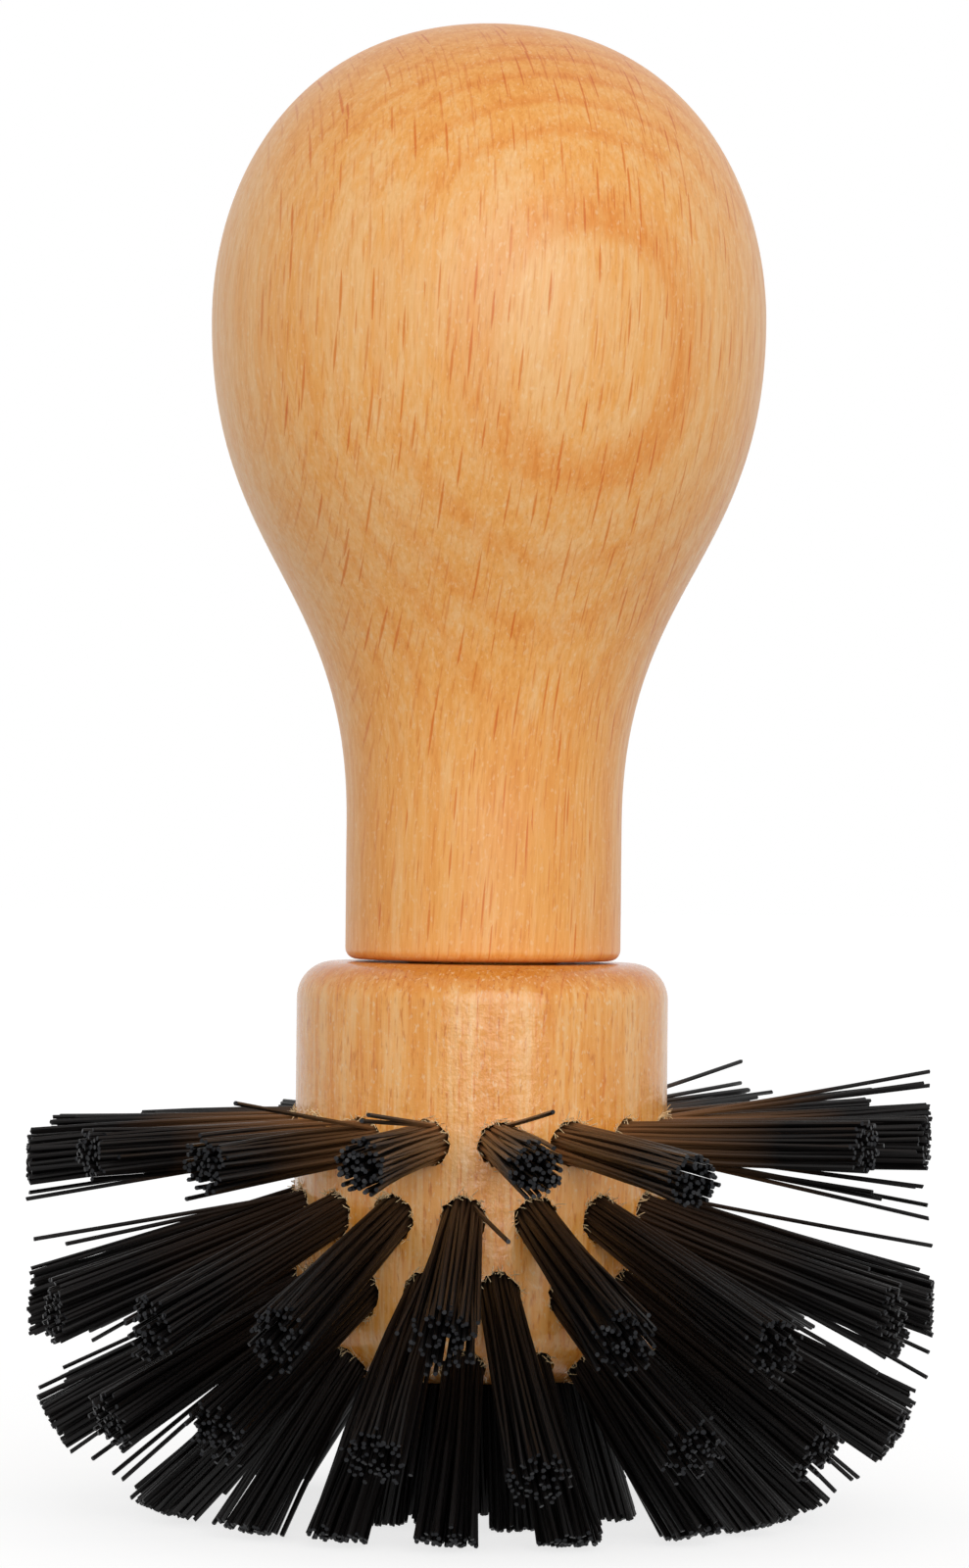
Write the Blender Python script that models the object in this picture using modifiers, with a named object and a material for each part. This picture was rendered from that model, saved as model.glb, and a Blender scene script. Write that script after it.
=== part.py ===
"""Cleaning brush for a coffee machine.

A turned beech knob is doweled and glued to a round beech head. The head is drilled all
round in four staggered rows, which lean further towards the end from row to row, and
in rings over its end. Each hole holds a tuft of stiff filament, folded in half over a
flat wire anchor. The tufts are trimmed to a cylinder with a rounded edge and a flat
end, which the brush stands on.

Metres, +Z up along the brush's axis. The origin is the middle of the trimmed end. The
front is towards -Y.
"""

import math
from collections import namedtuple

import bmesh
import bpy
from mathutils import Matrix, Vector
from mathutils.geometry import interpolate_bezier

MM = 0.001

# Between pieces
CLEARANCE = 0.3 * MM        # gap left wherever one piece fits into or onto another
OVERRUN = 0.5 * MM          # how far a cutter runs past what it cuts

# Handle
HANDLE_LENGTH = 63.6 * MM
KNOB_RADIUS = 18.9 * MM
KNOB_HEIGHT = 43.4 * MM     # from the handle's lower end up to the widest place
NECK_RADIUS = 9.38 * MM
NECK_LENGTH = 9.3 * MM      # the straight part above the seam
HANDLE_END_ROUND = 1.0 * MM
POLE_PULL_SHARE = 0.704     # how far the top runs level, as a share of the knob's radius
CROWN_PULL_SHARE = 0.474    # pulls of the curve, as shares of the height that each spans
WAIST_PULL_SHARE = 0.478
COVE_PULL_SHARE = 0.481

# Dowel between handle and head
DOWEL_RADIUS = 5.0 * MM
DOWEL_CHAMFER = 0.8 * MM
DOWEL_IN_HANDLE = 12.0 * MM
DOWEL_FLOOR = 1.8 * MM      # wood left under the dowel's bore, down to the roots' chamber

# Head
HEAD_RADIUS = 12.65 * MM
SHOULDER_ROUND = 2.5 * MM
HEAD_END_ROUND = 4.1 * MM    # lower edge, which the last row is drilled square into
HEAD_WALL = 2.6 * MM        # wood around the chamber where the roots of the rows meet
SPINDLE_RADIUS = 4.0 * MM   # solid wood up the middle of that chamber
END_FLOOR = 0.6 * MM        # wood between the end holes and that chamber

# Rows of tufts around the head, from the top row down
TUFTS_PER_ROW = 16
ROW_TILTS = tuple(math.radians(tilt) for tilt in (3, 20.5, 29, 45))
FIRST_ROW_DEPTH = 11.7 * MM  # from the head's top down to the holes of the first row
ROW_PITCH = 5.1 * MM
SIDE_ROWS_RISE = 6.0 * MM   # from the head's lower end up to the last row but one
CORE_RISE = 1.4 * MM        # how far the roots' chamber reaches above the first row
ROOT_BITE = 0.4 * MM        # how far a root runs into the slice that it grows from

# Tufts
HOLE_RADIUS = 1.3 * MM
END_HOLE_DEPTH = 3.2 * MM
STRANDS_PER_TUFT = 5
STRAND_GAP = 0.18 * MM      # between neighbouring strands where they leave the hole
FAN_DEPTH = 12.0 * MM       # strands fan out as if from a point this far below their mouth
FAN_DEPTH_SHARES = (0.85, 1.2, 0.9, 1.35, 1.0)  # one for each strand of a tuft
TURN_STEP = math.radians(137.5)  # each tuft is turned on from the one before by this

# Rings of tufts in the head's end, from the middle out
END_RING_NAMES = ("centre", "inner", "outer")
END_RING_COUNTS = (1, 6, 12)
END_INNER_RING_RADIUS = 3.5 * MM
END_OUTER_RING_RADIUS = 6.6 * MM
END_RING_RADII = (0.0, END_INNER_RING_RADIUS, END_OUTER_RING_RADIUS)
END_RING_SKEWS = tuple(math.radians(skew) for skew in (0, 9, 16))  # from the brush's axis

# Flat wire anchors that the end tufts are folded over
ANCHOR_THICKNESS = 0.3 * MM
ANCHOR_WIDTH = 1.2 * MM
FOLD_THICKNESS = 0.5 * MM   # filament under an anchor, at the bottom of its hole

# Trimmed outline of the bristles
TRIM_RADIUS = 31.0 * MM
TRIM_EDGE_ROUND = 12.5 * MM
END_TUFT_LENGTH = 9.7 * MM  # from the head's lower end to the flat that the brush stands on

# Facets
TURN_STEPS = 48
HOLE_SIDES = 12
CURVE_POINTS = 12           # on each of the two curves of the knob
HEAD_EDGE_STEPS = 6
EDGE_STEPS = 3
SHARP_EDGE = math.radians(35.0)
MERGE = 0.01 * MM           # profile points closer than this become one
FINE = 0.00001 * MM         # how closely a strand's end is brought to the trimmed outline

# Heights and radii that follow from the sizes above
LAST_ROW = len(ROW_TILTS) - 1
HEAD_LENGTH = FIRST_ROW_DEPTH + (LAST_ROW - 1) * ROW_PITCH + SIDE_ROWS_RISE
HEAD_BOTTOM = END_TUFT_LENGTH
HEAD_TOP = HEAD_BOTTOM + HEAD_LENGTH
HANDLE_BOTTOM = HEAD_TOP + CLEARANCE
HANDLE_TOP = HANDLE_BOTTOM + HANDLE_LENGTH
ROOT_RADIUS = HOLE_RADIUS - CLEARANCE
CHAMBER_RADIUS = HEAD_RADIUS - HEAD_WALL
CHAMBER_TOP = HEAD_TOP - FIRST_ROW_DEPTH + CORE_RISE + CLEARANCE
CHAMBER_BOTTOM = HEAD_BOTTOM + END_HOLE_DEPTH + END_FLOOR
SLICE_RADIUS = CHAMBER_RADIUS - CLEARANCE
BITE_RADIUS = SLICE_RADIUS - ROOT_BITE
SLICES_BOTTOM = CHAMBER_BOTTOM + CLEARANCE
DOWEL_BORE_RADIUS = DOWEL_RADIUS + CLEARANCE
DOWEL_BORE_BOTTOM = CHAMBER_TOP + DOWEL_FLOOR
DOWEL_BOTTOM = DOWEL_BORE_BOTTOM + CLEARANCE
DOWEL_TOP = HANDLE_BOTTOM + DOWEL_IN_HANDLE
DOWEL_BORE_TOP = DOWEL_TOP + CLEARANCE
END_ROOT_LENGTH = END_HOLE_DEPTH - CLEARANCE
ANCHOR_HEIGHT = FOLD_THICKNESS + CLEARANCE + ANCHOR_WIDTH / 2 - END_ROOT_LENGTH
TUFT_PITCH = math.tau / TUFTS_PER_ROW

# A hole in the head: where its mouth lies, its azimuth (0 at the front, 90 degrees to the
# right), how far its axis leans below the level and how far from square to the surface
Hole = namedtuple("Hole", "name mouth azimuth tilt skew")


def clear_scene():
    """Empty the scene, so that the brush is all that it holds."""
    for obj in list(bpy.data.objects):
        bpy.data.objects.remove(obj, do_unlink=True)


def new_collection(name):
    """A collection in the scene, under the given name."""
    collection = bpy.data.collections.new(name)
    bpy.context.scene.collection.children.link(collection)
    return collection


def new_material(name, color, roughness, metallic=0.0):
    """A Principled material with one colour."""
    material = bpy.data.materials.new(name)
    material.use_nodes = True
    shader = material.node_tree.nodes["Principled BSDF"]
    shader.inputs["Base Color"].default_value = (*color, 1.0)
    shader.inputs["Roughness"].default_value = roughness
    shader.inputs["Metallic"].default_value = metallic
    material.diffuse_color = (*color, 1.0)
    return material


def new_object(name, bm, collection):
    """An object that holds the given mesh."""
    mesh = bpy.data.meshes.new(name)
    bm.to_mesh(mesh)
    bm.free()
    obj = bpy.data.objects.new(name, mesh)
    collection.objects.link(obj)
    return obj


def settle(obj):
    """Apply an object's modifiers, and shade it smooth between its sharp edges."""
    depsgraph = bpy.context.evaluated_depsgraph_get()
    mesh = bpy.data.meshes.new_from_object(obj.evaluated_get(depsgraph))
    mesh.name = obj.name
    obj.modifiers.clear()
    obj.data = mesh
    mesh.shade_smooth()
    mesh.set_sharp_from_angle(angle=SHARP_EDGE)


def turned(name, profile, collection, steps=TURN_STEPS, closed=False):
    """Turn a profile of (radius, height) points around the axis.

    It runs down the outer side. A closed profile makes a ring.
    """
    bm = bmesh.new()
    verts = [bm.verts.new((radius, 0.0, height)) for radius, height in profile]
    for first, second in zip(verts, verts[1:]):
        bm.edges.new((first, second))
    if closed:
        bm.edges.new((verts[-1], verts[0]))
    obj = new_object(name, bm, collection)
    screw = obj.modifiers.new("Turn", "SCREW")
    screw.steps = steps
    screw.render_steps = steps
    screw.use_merge_vertices = True
    screw.merge_threshold = MERGE
    settle(obj)
    return obj


def arc(centre, radius, start, end, count):
    """Points on an arc in the profile's plane, from one angle to another."""
    points = []
    for i in range(count + 1):
        angle = start + (end - start) * i / count
        points.append((centre[0] + radius * math.cos(angle), centre[1] + radius * math.sin(angle)))
    return points


def curve(start, start_pull, end_pull, end):
    """Points on a Bezier curve in the profile's plane."""
    corners = [Vector((radius, height, 0.0)) for radius, height in (start, start_pull, end_pull, end)]
    return [(point.x, point.y) for point in interpolate_bezier(*corners, CURVE_POINTS)]


def as_cutter(obj):
    """Show an object as a guide only, because it is there to cut others."""
    obj.hide_render = True
    obj.display_type = "WIRE"


def combine(obj, other, operation):
    """Cut an object by another, or join it to another."""
    boolean = obj.modifiers.new(operation.title(), "BOOLEAN")
    boolean.operation = operation
    boolean.solver = "EXACT"
    boolean.object = other


def outward(azimuth, tilt):
    """Direction at an azimuth, leaning down from the level by tilt."""
    level = math.cos(tilt)
    return Vector((level * math.sin(azimuth), -level * math.cos(azimuth), -math.sin(tilt)))


def place(hole, turn=0.0):
    """Matrix that brings the origin to a hole's mouth and +Z to its outward axis.

    +X then lies level, unless turned about that axis.
    """
    axis = outward(hole.azimuth, hole.tilt)
    level = outward(hole.azimuth + math.pi / 2, 0.0)
    axes = Matrix((level, axis.cross(level), axis)).transposed().to_4x4()
    return Matrix.Translation(hole.mouth) @ axes @ Matrix.Rotation(turn, 4, "Z")


def row_mouth(row):
    """Radius and height of the mouths of a row of holes. The last row's lie on the lower edge."""
    if row < LAST_ROW:
        return HEAD_RADIUS, HEAD_TOP - FIRST_ROW_DEPTH - row * ROW_PITCH
    tilt = ROW_TILTS[row]
    radius = HEAD_RADIUS - HEAD_END_ROUND * (1.0 - math.cos(tilt))
    return radius, HEAD_BOTTOM + HEAD_END_ROUND * (1.0 - math.sin(tilt))


def row_holes(row):
    """The holes of one row. Every other row is turned by half a pitch."""
    stagger = TUFT_PITCH / 4 if row % 2 == 0 else -TUFT_PITCH / 4
    radius, height = row_mouth(row)
    skew = ROW_TILTS[row] if row < LAST_ROW else 0.0
    holes = []
    for i in range(TUFTS_PER_ROW):
        azimuth = stagger + i * TUFT_PITCH
        mouth = outward(azimuth, 0.0) * radius + Vector((0.0, 0.0, height))
        holes.append(Hole(str(i + 1), mouth, azimuth, ROW_TILTS[row], skew))
    return holes


def end_holes():
    """The holes in the head's end, ring by ring."""
    holes = []
    for ring, count, radius, skew in zip(END_RING_NAMES, END_RING_COUNTS, END_RING_RADII, END_RING_SKEWS):
        for i in range(count):
            azimuth = (i + 0.5) * math.tau / count
            mouth = outward(azimuth, 0.0) * radius + Vector((0.0, 0.0, HEAD_BOTTOM))
            name = ring if count == 1 else f"{ring}_{i + 1}"
            holes.append(Hole(name, mouth, azimuth, math.pi / 2 - skew, skew))
    return holes


def inside_trim(point):
    """Whether a point lies inside the outline that the bristles are trimmed to."""
    radius = math.hypot(point.x, point.y)
    past_flat = radius - (TRIM_RADIUS - TRIM_EDGE_ROUND)
    if point.z < 0.0 or radius > TRIM_RADIUS:
        return False
    if past_flat > 0.0 and point.z < TRIM_EDGE_ROUND:
        return math.hypot(past_flat, TRIM_EDGE_ROUND - point.z) < TRIM_EDGE_ROUND
    return True


def outside_bite(point):
    """Whether a point lies further out, or lower, than the inner ends of the roots."""
    return math.hypot(point.x, point.y) > BITE_RADIUS or point.z < SLICES_BOTTOM + ROOT_BITE


def run_until(point, direction, still_good, reach):
    """Follow a direction from a point up to the last place that is still good.

    At the full reach it no longer is.
    """
    near = 0.0
    far = reach
    while far - near > FINE:
        middle = (near + far) / 2
        if still_good(point + direction * middle):
            near = middle
        else:
            far = middle
    return point + direction * near


def add_tuft(bm, hole, turn, depth=None):
    """Add one tuft: its packed root in the hole, and its strands, which fan out from it.

    With no depth, the root runs in to the slice of the head that carries it.
    """
    tuft = bmesh.new()
    length = depth if depth else HEAD_WALL
    bmesh.ops.create_cone(
        tuft, cap_ends=True, segments=STRANDS_PER_TUFT, radius1=ROOT_RADIUS, radius2=ROOT_RADIUS,
        depth=length, matrix=Matrix.Translation((0.0, 0.0, -length / 2)))
    faces = sorted(tuft.faces, key=lambda face: face.calc_center_median().z)
    inner_end = faces[0]
    sectors = bmesh.ops.poke(tuft, faces=[faces[-1]])["faces"]
    bmesh.ops.inset_individual(tuft, faces=sectors, thickness=STRAND_GAP / 2, use_even_offset=True)
    tuft.transform(place(hole, turn))
    axis = outward(hole.azimuth, hole.tilt)
    if not depth:
        for vert in inner_end.verts:
            at_mouth = vert.co + axis * length
            vert.co = run_until(at_mouth, -axis, outside_bite, HEAD_RADIUS)
    tips = bmesh.ops.extrude_discrete_faces(tuft, faces=sectors)["faces"]
    for tip, depth_share in zip(tips, FAN_DEPTH_SHARES):
        source = hole.mouth - axis * FAN_DEPTH * depth_share
        for vert in tip.verts:
            heading = (vert.co - source).normalized()
            vert.co = run_until(vert.co, heading, inside_trim, 2 * TRIM_RADIUS)
    mesh = bpy.data.meshes.new("tuft")
    tuft.to_mesh(mesh)
    tuft.free()
    bm.from_mesh(mesh)
    bpy.data.meshes.remove(mesh)


def make_handle(parts):
    """The turned handle: a round knob on a waisted neck, bored from below for the dowel."""
    widest = (KNOB_RADIUS, HANDLE_BOTTOM + KNOB_HEIGHT)
    crown = HANDLE_TOP - widest[1]
    neck = (NECK_RADIUS, HANDLE_BOTTOM + NECK_LENGTH)
    waist = widest[1] - neck[1]
    profile = curve(
        (0.0, HANDLE_TOP), (KNOB_RADIUS * POLE_PULL_SHARE, HANDLE_TOP),
        (KNOB_RADIUS, widest[1] + crown * CROWN_PULL_SHARE), widest)
    profile += curve(
        widest, (KNOB_RADIUS, widest[1] - waist * WAIST_PULL_SHARE),
        (NECK_RADIUS, neck[1] + waist * COVE_PULL_SHARE), neck)[1:]
    round_centre = (NECK_RADIUS - HANDLE_END_ROUND, HANDLE_BOTTOM + HANDLE_END_ROUND)
    profile += arc(round_centre, HANDLE_END_ROUND, 0.0, -math.pi / 2, EDGE_STEPS)
    profile += [
        (DOWEL_BORE_RADIUS, HANDLE_BOTTOM),
        (DOWEL_BORE_RADIUS, DOWEL_BORE_TOP),
        (0.0, DOWEL_BORE_TOP),
    ]
    return turned("handle_knob", profile, parts)


def make_dowel(parts):
    """The glued dowel that holds handle and head together, chamfered at both ends."""
    inset = DOWEL_RADIUS - DOWEL_CHAMFER
    profile = [
        (0.0, DOWEL_TOP),
        (inset, DOWEL_TOP),
        (DOWEL_RADIUS, DOWEL_TOP - DOWEL_CHAMFER),
        (DOWEL_RADIUS, DOWEL_BOTTOM + DOWEL_CHAMFER),
        (inset, DOWEL_BOTTOM),
        (0.0, DOWEL_BOTTOM),
    ]
    return turned("dowel", profile, parts, steps=TURN_STEPS // 2)


def make_chamber_cutter(guides):
    """Cutter for the ring-shaped chamber inside the head, where the roots of each row meet."""
    profile = [
        (SPINDLE_RADIUS, CHAMBER_TOP),
        (CHAMBER_RADIUS, CHAMBER_TOP),
        (CHAMBER_RADIUS, CHAMBER_BOTTOM),
        (SPINDLE_RADIUS, CHAMBER_BOTTOM),
    ]
    cutter = turned("chamber_cutter", profile, guides, closed=True)
    as_cutter(cutter)
    return cutter


def row_drill_depth(row):
    """How deep the holes of a row are drilled, so that they open into the chamber."""
    tilt = ROW_TILTS[row]
    if row < LAST_ROW:
        return (HEAD_WALL + HOLE_RADIUS * math.sin(tilt) + OVERRUN) / math.cos(tilt)
    radius, height = row_mouth(row)
    return (CHAMBER_BOTTOM - height + HOLE_RADIUS * math.cos(tilt) + OVERRUN) / math.sin(tilt)


def make_drills(name, holes, depth, guides):
    """Cutter for some holes, from past the head's surface to a depth along their axes."""
    bm = bmesh.new()
    for hole in holes:
        proud = (HOLE_RADIUS * math.sin(hole.skew) + OVERRUN) / math.cos(hole.skew)
        middle = Matrix.Translation((0.0, 0.0, (proud - depth) / 2))
        bmesh.ops.create_cone(
            bm, cap_ends=True, segments=HOLE_SIDES, radius1=HOLE_RADIUS, radius2=HOLE_RADIUS,
            depth=proud + depth, matrix=place(hole) @ middle)
    cutter = new_object(name, bm, guides)
    as_cutter(cutter)
    return cutter


def make_head(parts, guides):
    """The turned head, soft at the shoulder and rounded below, drilled all round and over its end."""
    shoulder = (HEAD_RADIUS - SHOULDER_ROUND, HEAD_TOP - SHOULDER_ROUND)
    lower_edge = (HEAD_RADIUS - HEAD_END_ROUND, HEAD_BOTTOM + HEAD_END_ROUND)
    profile = [
        (0.0, DOWEL_BORE_BOTTOM),
        (DOWEL_BORE_RADIUS, DOWEL_BORE_BOTTOM),
        (DOWEL_BORE_RADIUS, HEAD_TOP),
    ]
    profile += arc(shoulder, SHOULDER_ROUND, math.pi / 2, 0.0, HEAD_EDGE_STEPS)
    profile += arc(lower_edge, HEAD_END_ROUND, 0.0, -math.pi / 2, HEAD_EDGE_STEPS)
    profile.append((0.0, HEAD_BOTTOM))
    head = turned("brush_head", profile, parts)
    combine(head, make_chamber_cutter(guides), "DIFFERENCE")
    for row in range(len(ROW_TILTS)):
        drills = make_drills(f"row_drills_{row + 1}", row_holes(row), row_drill_depth(row), guides)
        combine(head, drills, "DIFFERENCE")
    combine(head, make_drills("end_drills", end_holes(), END_HOLE_DEPTH, guides), "DIFFERENCE")
    settle(head)
    return head


def root_height(row):
    """Height at which the roots of a row reach the inner end of their bite."""
    radius, height = row_mouth(row)
    return height + (radius - BITE_RADIUS) * math.tan(ROW_TILTS[row])


def slice_border(row):
    """Height at the bite and slope of the cone between a row's slice and the next one's.

    The room between two rows is shared in the ratio of how tall their tilted roots stand.
    """
    upper = 1.0 / math.cos(ROW_TILTS[row])
    lower = 1.0 / math.cos(ROW_TILTS[row + 1])
    room = root_height(row) - root_height(row + 1)
    slope = math.tan((ROW_TILTS[row] + ROW_TILTS[row + 1]) / 2)
    return root_height(row + 1) + room * lower / (upper + lower), slope


def make_slice(row, parts):
    """The slice of the head's core that a row's roots grow from: a ring between two cones."""
    half_gap = CLEARANCE / 2
    sides = TUFTS_PER_ROW
    bore = (SPINDLE_RADIUS + CLEARANCE) / math.cos(math.pi / sides)

    def border(index, shift):
        height, slope = slice_border(index)
        shift = shift * half_gap * math.hypot(1.0, slope)
        return [height + shift + (BITE_RADIUS - radius) * slope for radius in (bore, SLICE_RADIUS)]

    top = [CHAMBER_TOP - CLEARANCE] * 2
    bottom = [SLICES_BOTTOM] * 2
    if row > 0:
        top = border(row - 1, -1)
    if row < len(ROW_TILTS) - 1:
        bottom = border(row, 1)
    profile = [(bore, top[0]), (SLICE_RADIUS, top[1]), (SLICE_RADIUS, bottom[1]), (bore, bottom[0])]
    core = turned(f"bristle_row_{row + 1}", profile, parts, steps=sides, closed=True)
    turn = row_holes(row)[0].azimuth - math.pi / 2 + TUFT_PITCH / 2
    core.data.transform(Matrix.Rotation(turn, 4, "Z"))
    return core


def make_row(row, parts, guides):
    """One row of tufts, in one piece with its slice of the head's core."""
    core = make_slice(row, parts)
    bm = bmesh.new()
    for i, hole in enumerate(row_holes(row)):
        add_tuft(bm, hole, i * TURN_STEP)
    tufts = new_object(f"row_tufts_{row + 1}", bm, guides)
    as_cutter(tufts)
    combine(core, tufts, "UNION")
    settle(core)
    return core


def add_anchor_box(bm, hole, size):
    """Add a box of the given size where the anchor of an end hole lies, its length along +X."""
    where = place(hole) @ Matrix.Translation((0.0, 0.0, ANCHOR_HEIGHT))
    bmesh.ops.create_cube(bm, size=1.0, matrix=where @ Matrix.Diagonal(size).to_4x4())


def make_end_tuft(hole, turn, parts, guides):
    """One tuft of the head's end, with the eye in its folded root that the anchor goes through."""
    bm = bmesh.new()
    add_tuft(bm, hole, turn, depth=END_ROOT_LENGTH)
    tuft = new_object(f"end_tuft_{hole.name}", bm, parts)
    eye = Vector((
        2 * (ROOT_RADIUS + OVERRUN),
        ANCHOR_THICKNESS + 2 * CLEARANCE,
        ANCHOR_WIDTH + 2 * CLEARANCE,
    ))
    bm = bmesh.new()
    add_anchor_box(bm, hole, eye)
    cutter = new_object(f"end_eye_{hole.name}", bm, guides)
    as_cutter(cutter)
    combine(tuft, cutter, "DIFFERENCE")
    settle(tuft)
    return tuft


def make_end_anchor(hole, parts):
    """The flat wire anchor at the bottom of an end hole."""
    bm = bmesh.new()
    add_anchor_box(bm, hole, Vector((2 * ROOT_RADIUS, ANCHOR_THICKNESS, ANCHOR_WIDTH)))
    return new_object(f"end_anchor_{hole.name}", bm, parts)


def main():
    """Build the brush."""
    clear_scene()
    parts = new_collection("Coffee machine cleaning brush")
    guides = new_collection("Cutters")
    handle_wood = new_material("Handle beech", (0.78, 0.49, 0.22), 0.5)
    head_wood = new_material("Head beech", (0.72, 0.43, 0.18), 0.35)
    dowel_wood = new_material("Dowel beech", (0.80, 0.62, 0.40), 0.6)
    filament = new_material("Black filament", (0.012, 0.012, 0.014), 0.4)
    wire = new_material("Anchor wire", (0.62, 0.62, 0.60), 0.3, metallic=1.0)

    pieces = [
        (make_handle(parts), handle_wood),
        (make_dowel(parts), dowel_wood),
        (make_head(parts, guides), head_wood),
    ]
    for row in range(len(ROW_TILTS)):
        pieces.append((make_row(row, parts, guides), filament))
    for i, hole in enumerate(end_holes()):
        pieces.append((make_end_tuft(hole, i * TURN_STEP, parts, guides), filament))
        pieces.append((make_end_anchor(hole, parts), wire))
    for piece, material in pieces:
        piece.data.materials.clear()
        piece.data.materials.append(material)


main()
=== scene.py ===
"""Looks of the coffee machine cleaning brush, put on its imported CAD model.

The handle and the head become fine turned meshes in figured beech, and every tuft some
sixty single filaments that fan out to the trimmed outline. Torn wood fibre stands round
the drilled holes. What the brush hides, its dowel and anchors, keeps its CAD shape.

Metres, +Z up, the front towards -Y, as in the CAD model.
"""

import math
import random

import bmesh
import bpy
from bpy.props import FloatProperty, FloatVectorProperty, IntProperty, PointerProperty
from mathutils import Matrix, Vector
from mathutils.geometry import interpolate_bezier


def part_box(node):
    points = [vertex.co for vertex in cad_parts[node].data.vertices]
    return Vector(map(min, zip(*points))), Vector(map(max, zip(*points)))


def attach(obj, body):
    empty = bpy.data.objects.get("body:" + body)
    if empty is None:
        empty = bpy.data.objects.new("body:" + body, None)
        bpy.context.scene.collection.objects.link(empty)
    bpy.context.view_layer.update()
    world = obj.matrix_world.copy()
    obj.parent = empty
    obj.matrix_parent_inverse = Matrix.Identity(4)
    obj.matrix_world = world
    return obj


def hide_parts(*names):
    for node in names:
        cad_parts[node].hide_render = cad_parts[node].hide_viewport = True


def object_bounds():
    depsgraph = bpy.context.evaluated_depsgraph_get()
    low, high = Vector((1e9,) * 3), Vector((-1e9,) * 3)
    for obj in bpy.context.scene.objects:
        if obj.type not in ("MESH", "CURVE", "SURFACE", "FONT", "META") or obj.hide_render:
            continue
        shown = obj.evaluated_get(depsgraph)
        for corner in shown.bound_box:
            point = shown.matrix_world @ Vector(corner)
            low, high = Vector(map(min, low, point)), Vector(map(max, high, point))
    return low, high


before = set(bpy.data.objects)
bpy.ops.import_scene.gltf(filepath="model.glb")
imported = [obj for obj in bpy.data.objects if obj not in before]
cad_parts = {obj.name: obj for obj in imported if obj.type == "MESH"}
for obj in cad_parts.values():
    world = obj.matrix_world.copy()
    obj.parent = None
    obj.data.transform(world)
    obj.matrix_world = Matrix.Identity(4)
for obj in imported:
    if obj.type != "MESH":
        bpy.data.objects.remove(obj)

bl_info = {
    "name": "Cleaning Brush",
    "version": (1, 0, 0),
    "blender": (4, 5, 0),
    "location": "3D View > Sidebar > Brush",
    "description": "Dresses the CAD model of a cleaning brush in filament and beech",
    "category": "Add Mesh",
}

MM = 0.001

# Boxes of the CAD model, which the sizes below are taken from
CAD_LOW, CAD_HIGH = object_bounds()
HANDLE_LOW, HANDLE_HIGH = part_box("handle_knob")
HEAD_LOW, HEAD_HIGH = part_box("brush_head")
DOWEL_LOW, DOWEL_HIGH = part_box("dowel")

# Facets
TURN_STEPS = 144
CURVE_POINTS = 48
EDGE_STEPS = 8
SHOULDER_STEPS = 12
TRIM_TURN_STEPS = 96
TRIM_EDGE_STEPS = 16
HOLE_SIDES = 32
FILAMENT_SIDES = 6
FILAMENT_POINTS = 7
FIBRE_SIDES = 3
FIBRE_POINTS = 4
SHARP_EDGE = math.radians(35.0)
SHARP_TUBE_EDGE = math.radians(50.0)
MERGE = 0.002 * MM
DRILL_OVERRUN = 2.5 * MM            # how far the drills start outside the wood

# How filaments lie in their tuft, and how one differs from the next
GOLDEN_ANGLE = math.radians(137.508)
TUFT_STEP = 997.0                   # from one tuft's first filament number to the next tuft's
FAN_DEPTH_SHARES = (0.75, 1.35)     # least and most of the fan depth
WIDE_FROM = 0.955                   # a filament whose chance is higher strays wide
WIDER = 2.6                         # by how much more it scatters
CROPPED_FROM = 0.97                 # one whose chance is higher is cropped
CROPPED_BY = 4.0                    # most that it then loses, in times the unevenness
KNEE_SHARE = 0.36                   # how far out it bends, of its reach
LIFT_SHARE = 0.12                   # how far it follows its hole's axis first, of its reach
STRAY_STEADINESS = 0.8              # how much straighter a stray is than the rest
CUT_LENGTH = 0.05 * MM              # the cut end narrows over this length
CUT_SHARE = 0.7                     # its radius, as a share of the rest
CUT_SLANT = 0.022 * MM              # most that it lies off the middle

# What the darkest and the lightest filament make of the filaments' colour
DARKEST_TONE = (0.55, 0.55, 0.55)
LIGHTEST_TONE = (1.5, 1.45, 1.4)

# How torn fibre roots round the rim of a hole, and stands out of the wood
RIM_SIDES = (math.pi / 2, math.pi / 2, -math.pi / 2)    # twice as much above a hole as below
RIM_SPREAD = 0.9                    # how far round it strays from there, in radians
RIM_SHARES = (0.98, 1.15)           # least and most distance from the axis, of the hole's radius
FIBRE_SINK = 0.02 * MM              # how deep it roots
FIBRE_SHARES = (0.2, 1.0)           # least and most length, of the longest
SHORTENING = 1.5                    # power that makes most of it shorter
STAND_SHARES = (0.25, 1.0)          # least and most that it points outward
FIBRE_LEAN = 0.6                    # how much it leans round, up and down
FIBRE_LIFT = 0.15                   # how much more it leans up than down
BEND_SHARE = 0.35                   # how far it bends, of its length
FIBRE_TIP_SHARE = 0.4               # radius of its tip, of that of its root

# Noise drawn out along the beech's grain: scale across it, share of that scale along it,
# detail and roughness
GRAIN = {
    "bands": (0.24, 0.07, 2.0, 0.6),
    "streaks": (0.85, 0.045, 4.0, 0.6),
    "threads": (2.6, 0.05, 2.0, 0.6),
    "fibre": (5.5, 0.07, 3.0, 0.7),
    "specks": (4.2, 0.5, 1.0, 0.6),
    "pores": (4.6, 0.16, 2.0, 0.6),
}

# Ray flecks: depth, width and height of their cells in millimetres, and how thin they are
STRONG_RAYS = ((3.2, 0.85, 5.0), 8.5)
FAINT_RAYS = ((2.0, 0.5, 2.8), 6.5)

# What the palest and the darkest beech fibre make of the colour, and the depth of its relief
PALE_FIBRE = (1.04, 1.1, 1.28)
DARK_FIBRE = (0.95, 0.88, 0.7)
RELIEF_DEPTH = 0.04 * MM


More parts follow.
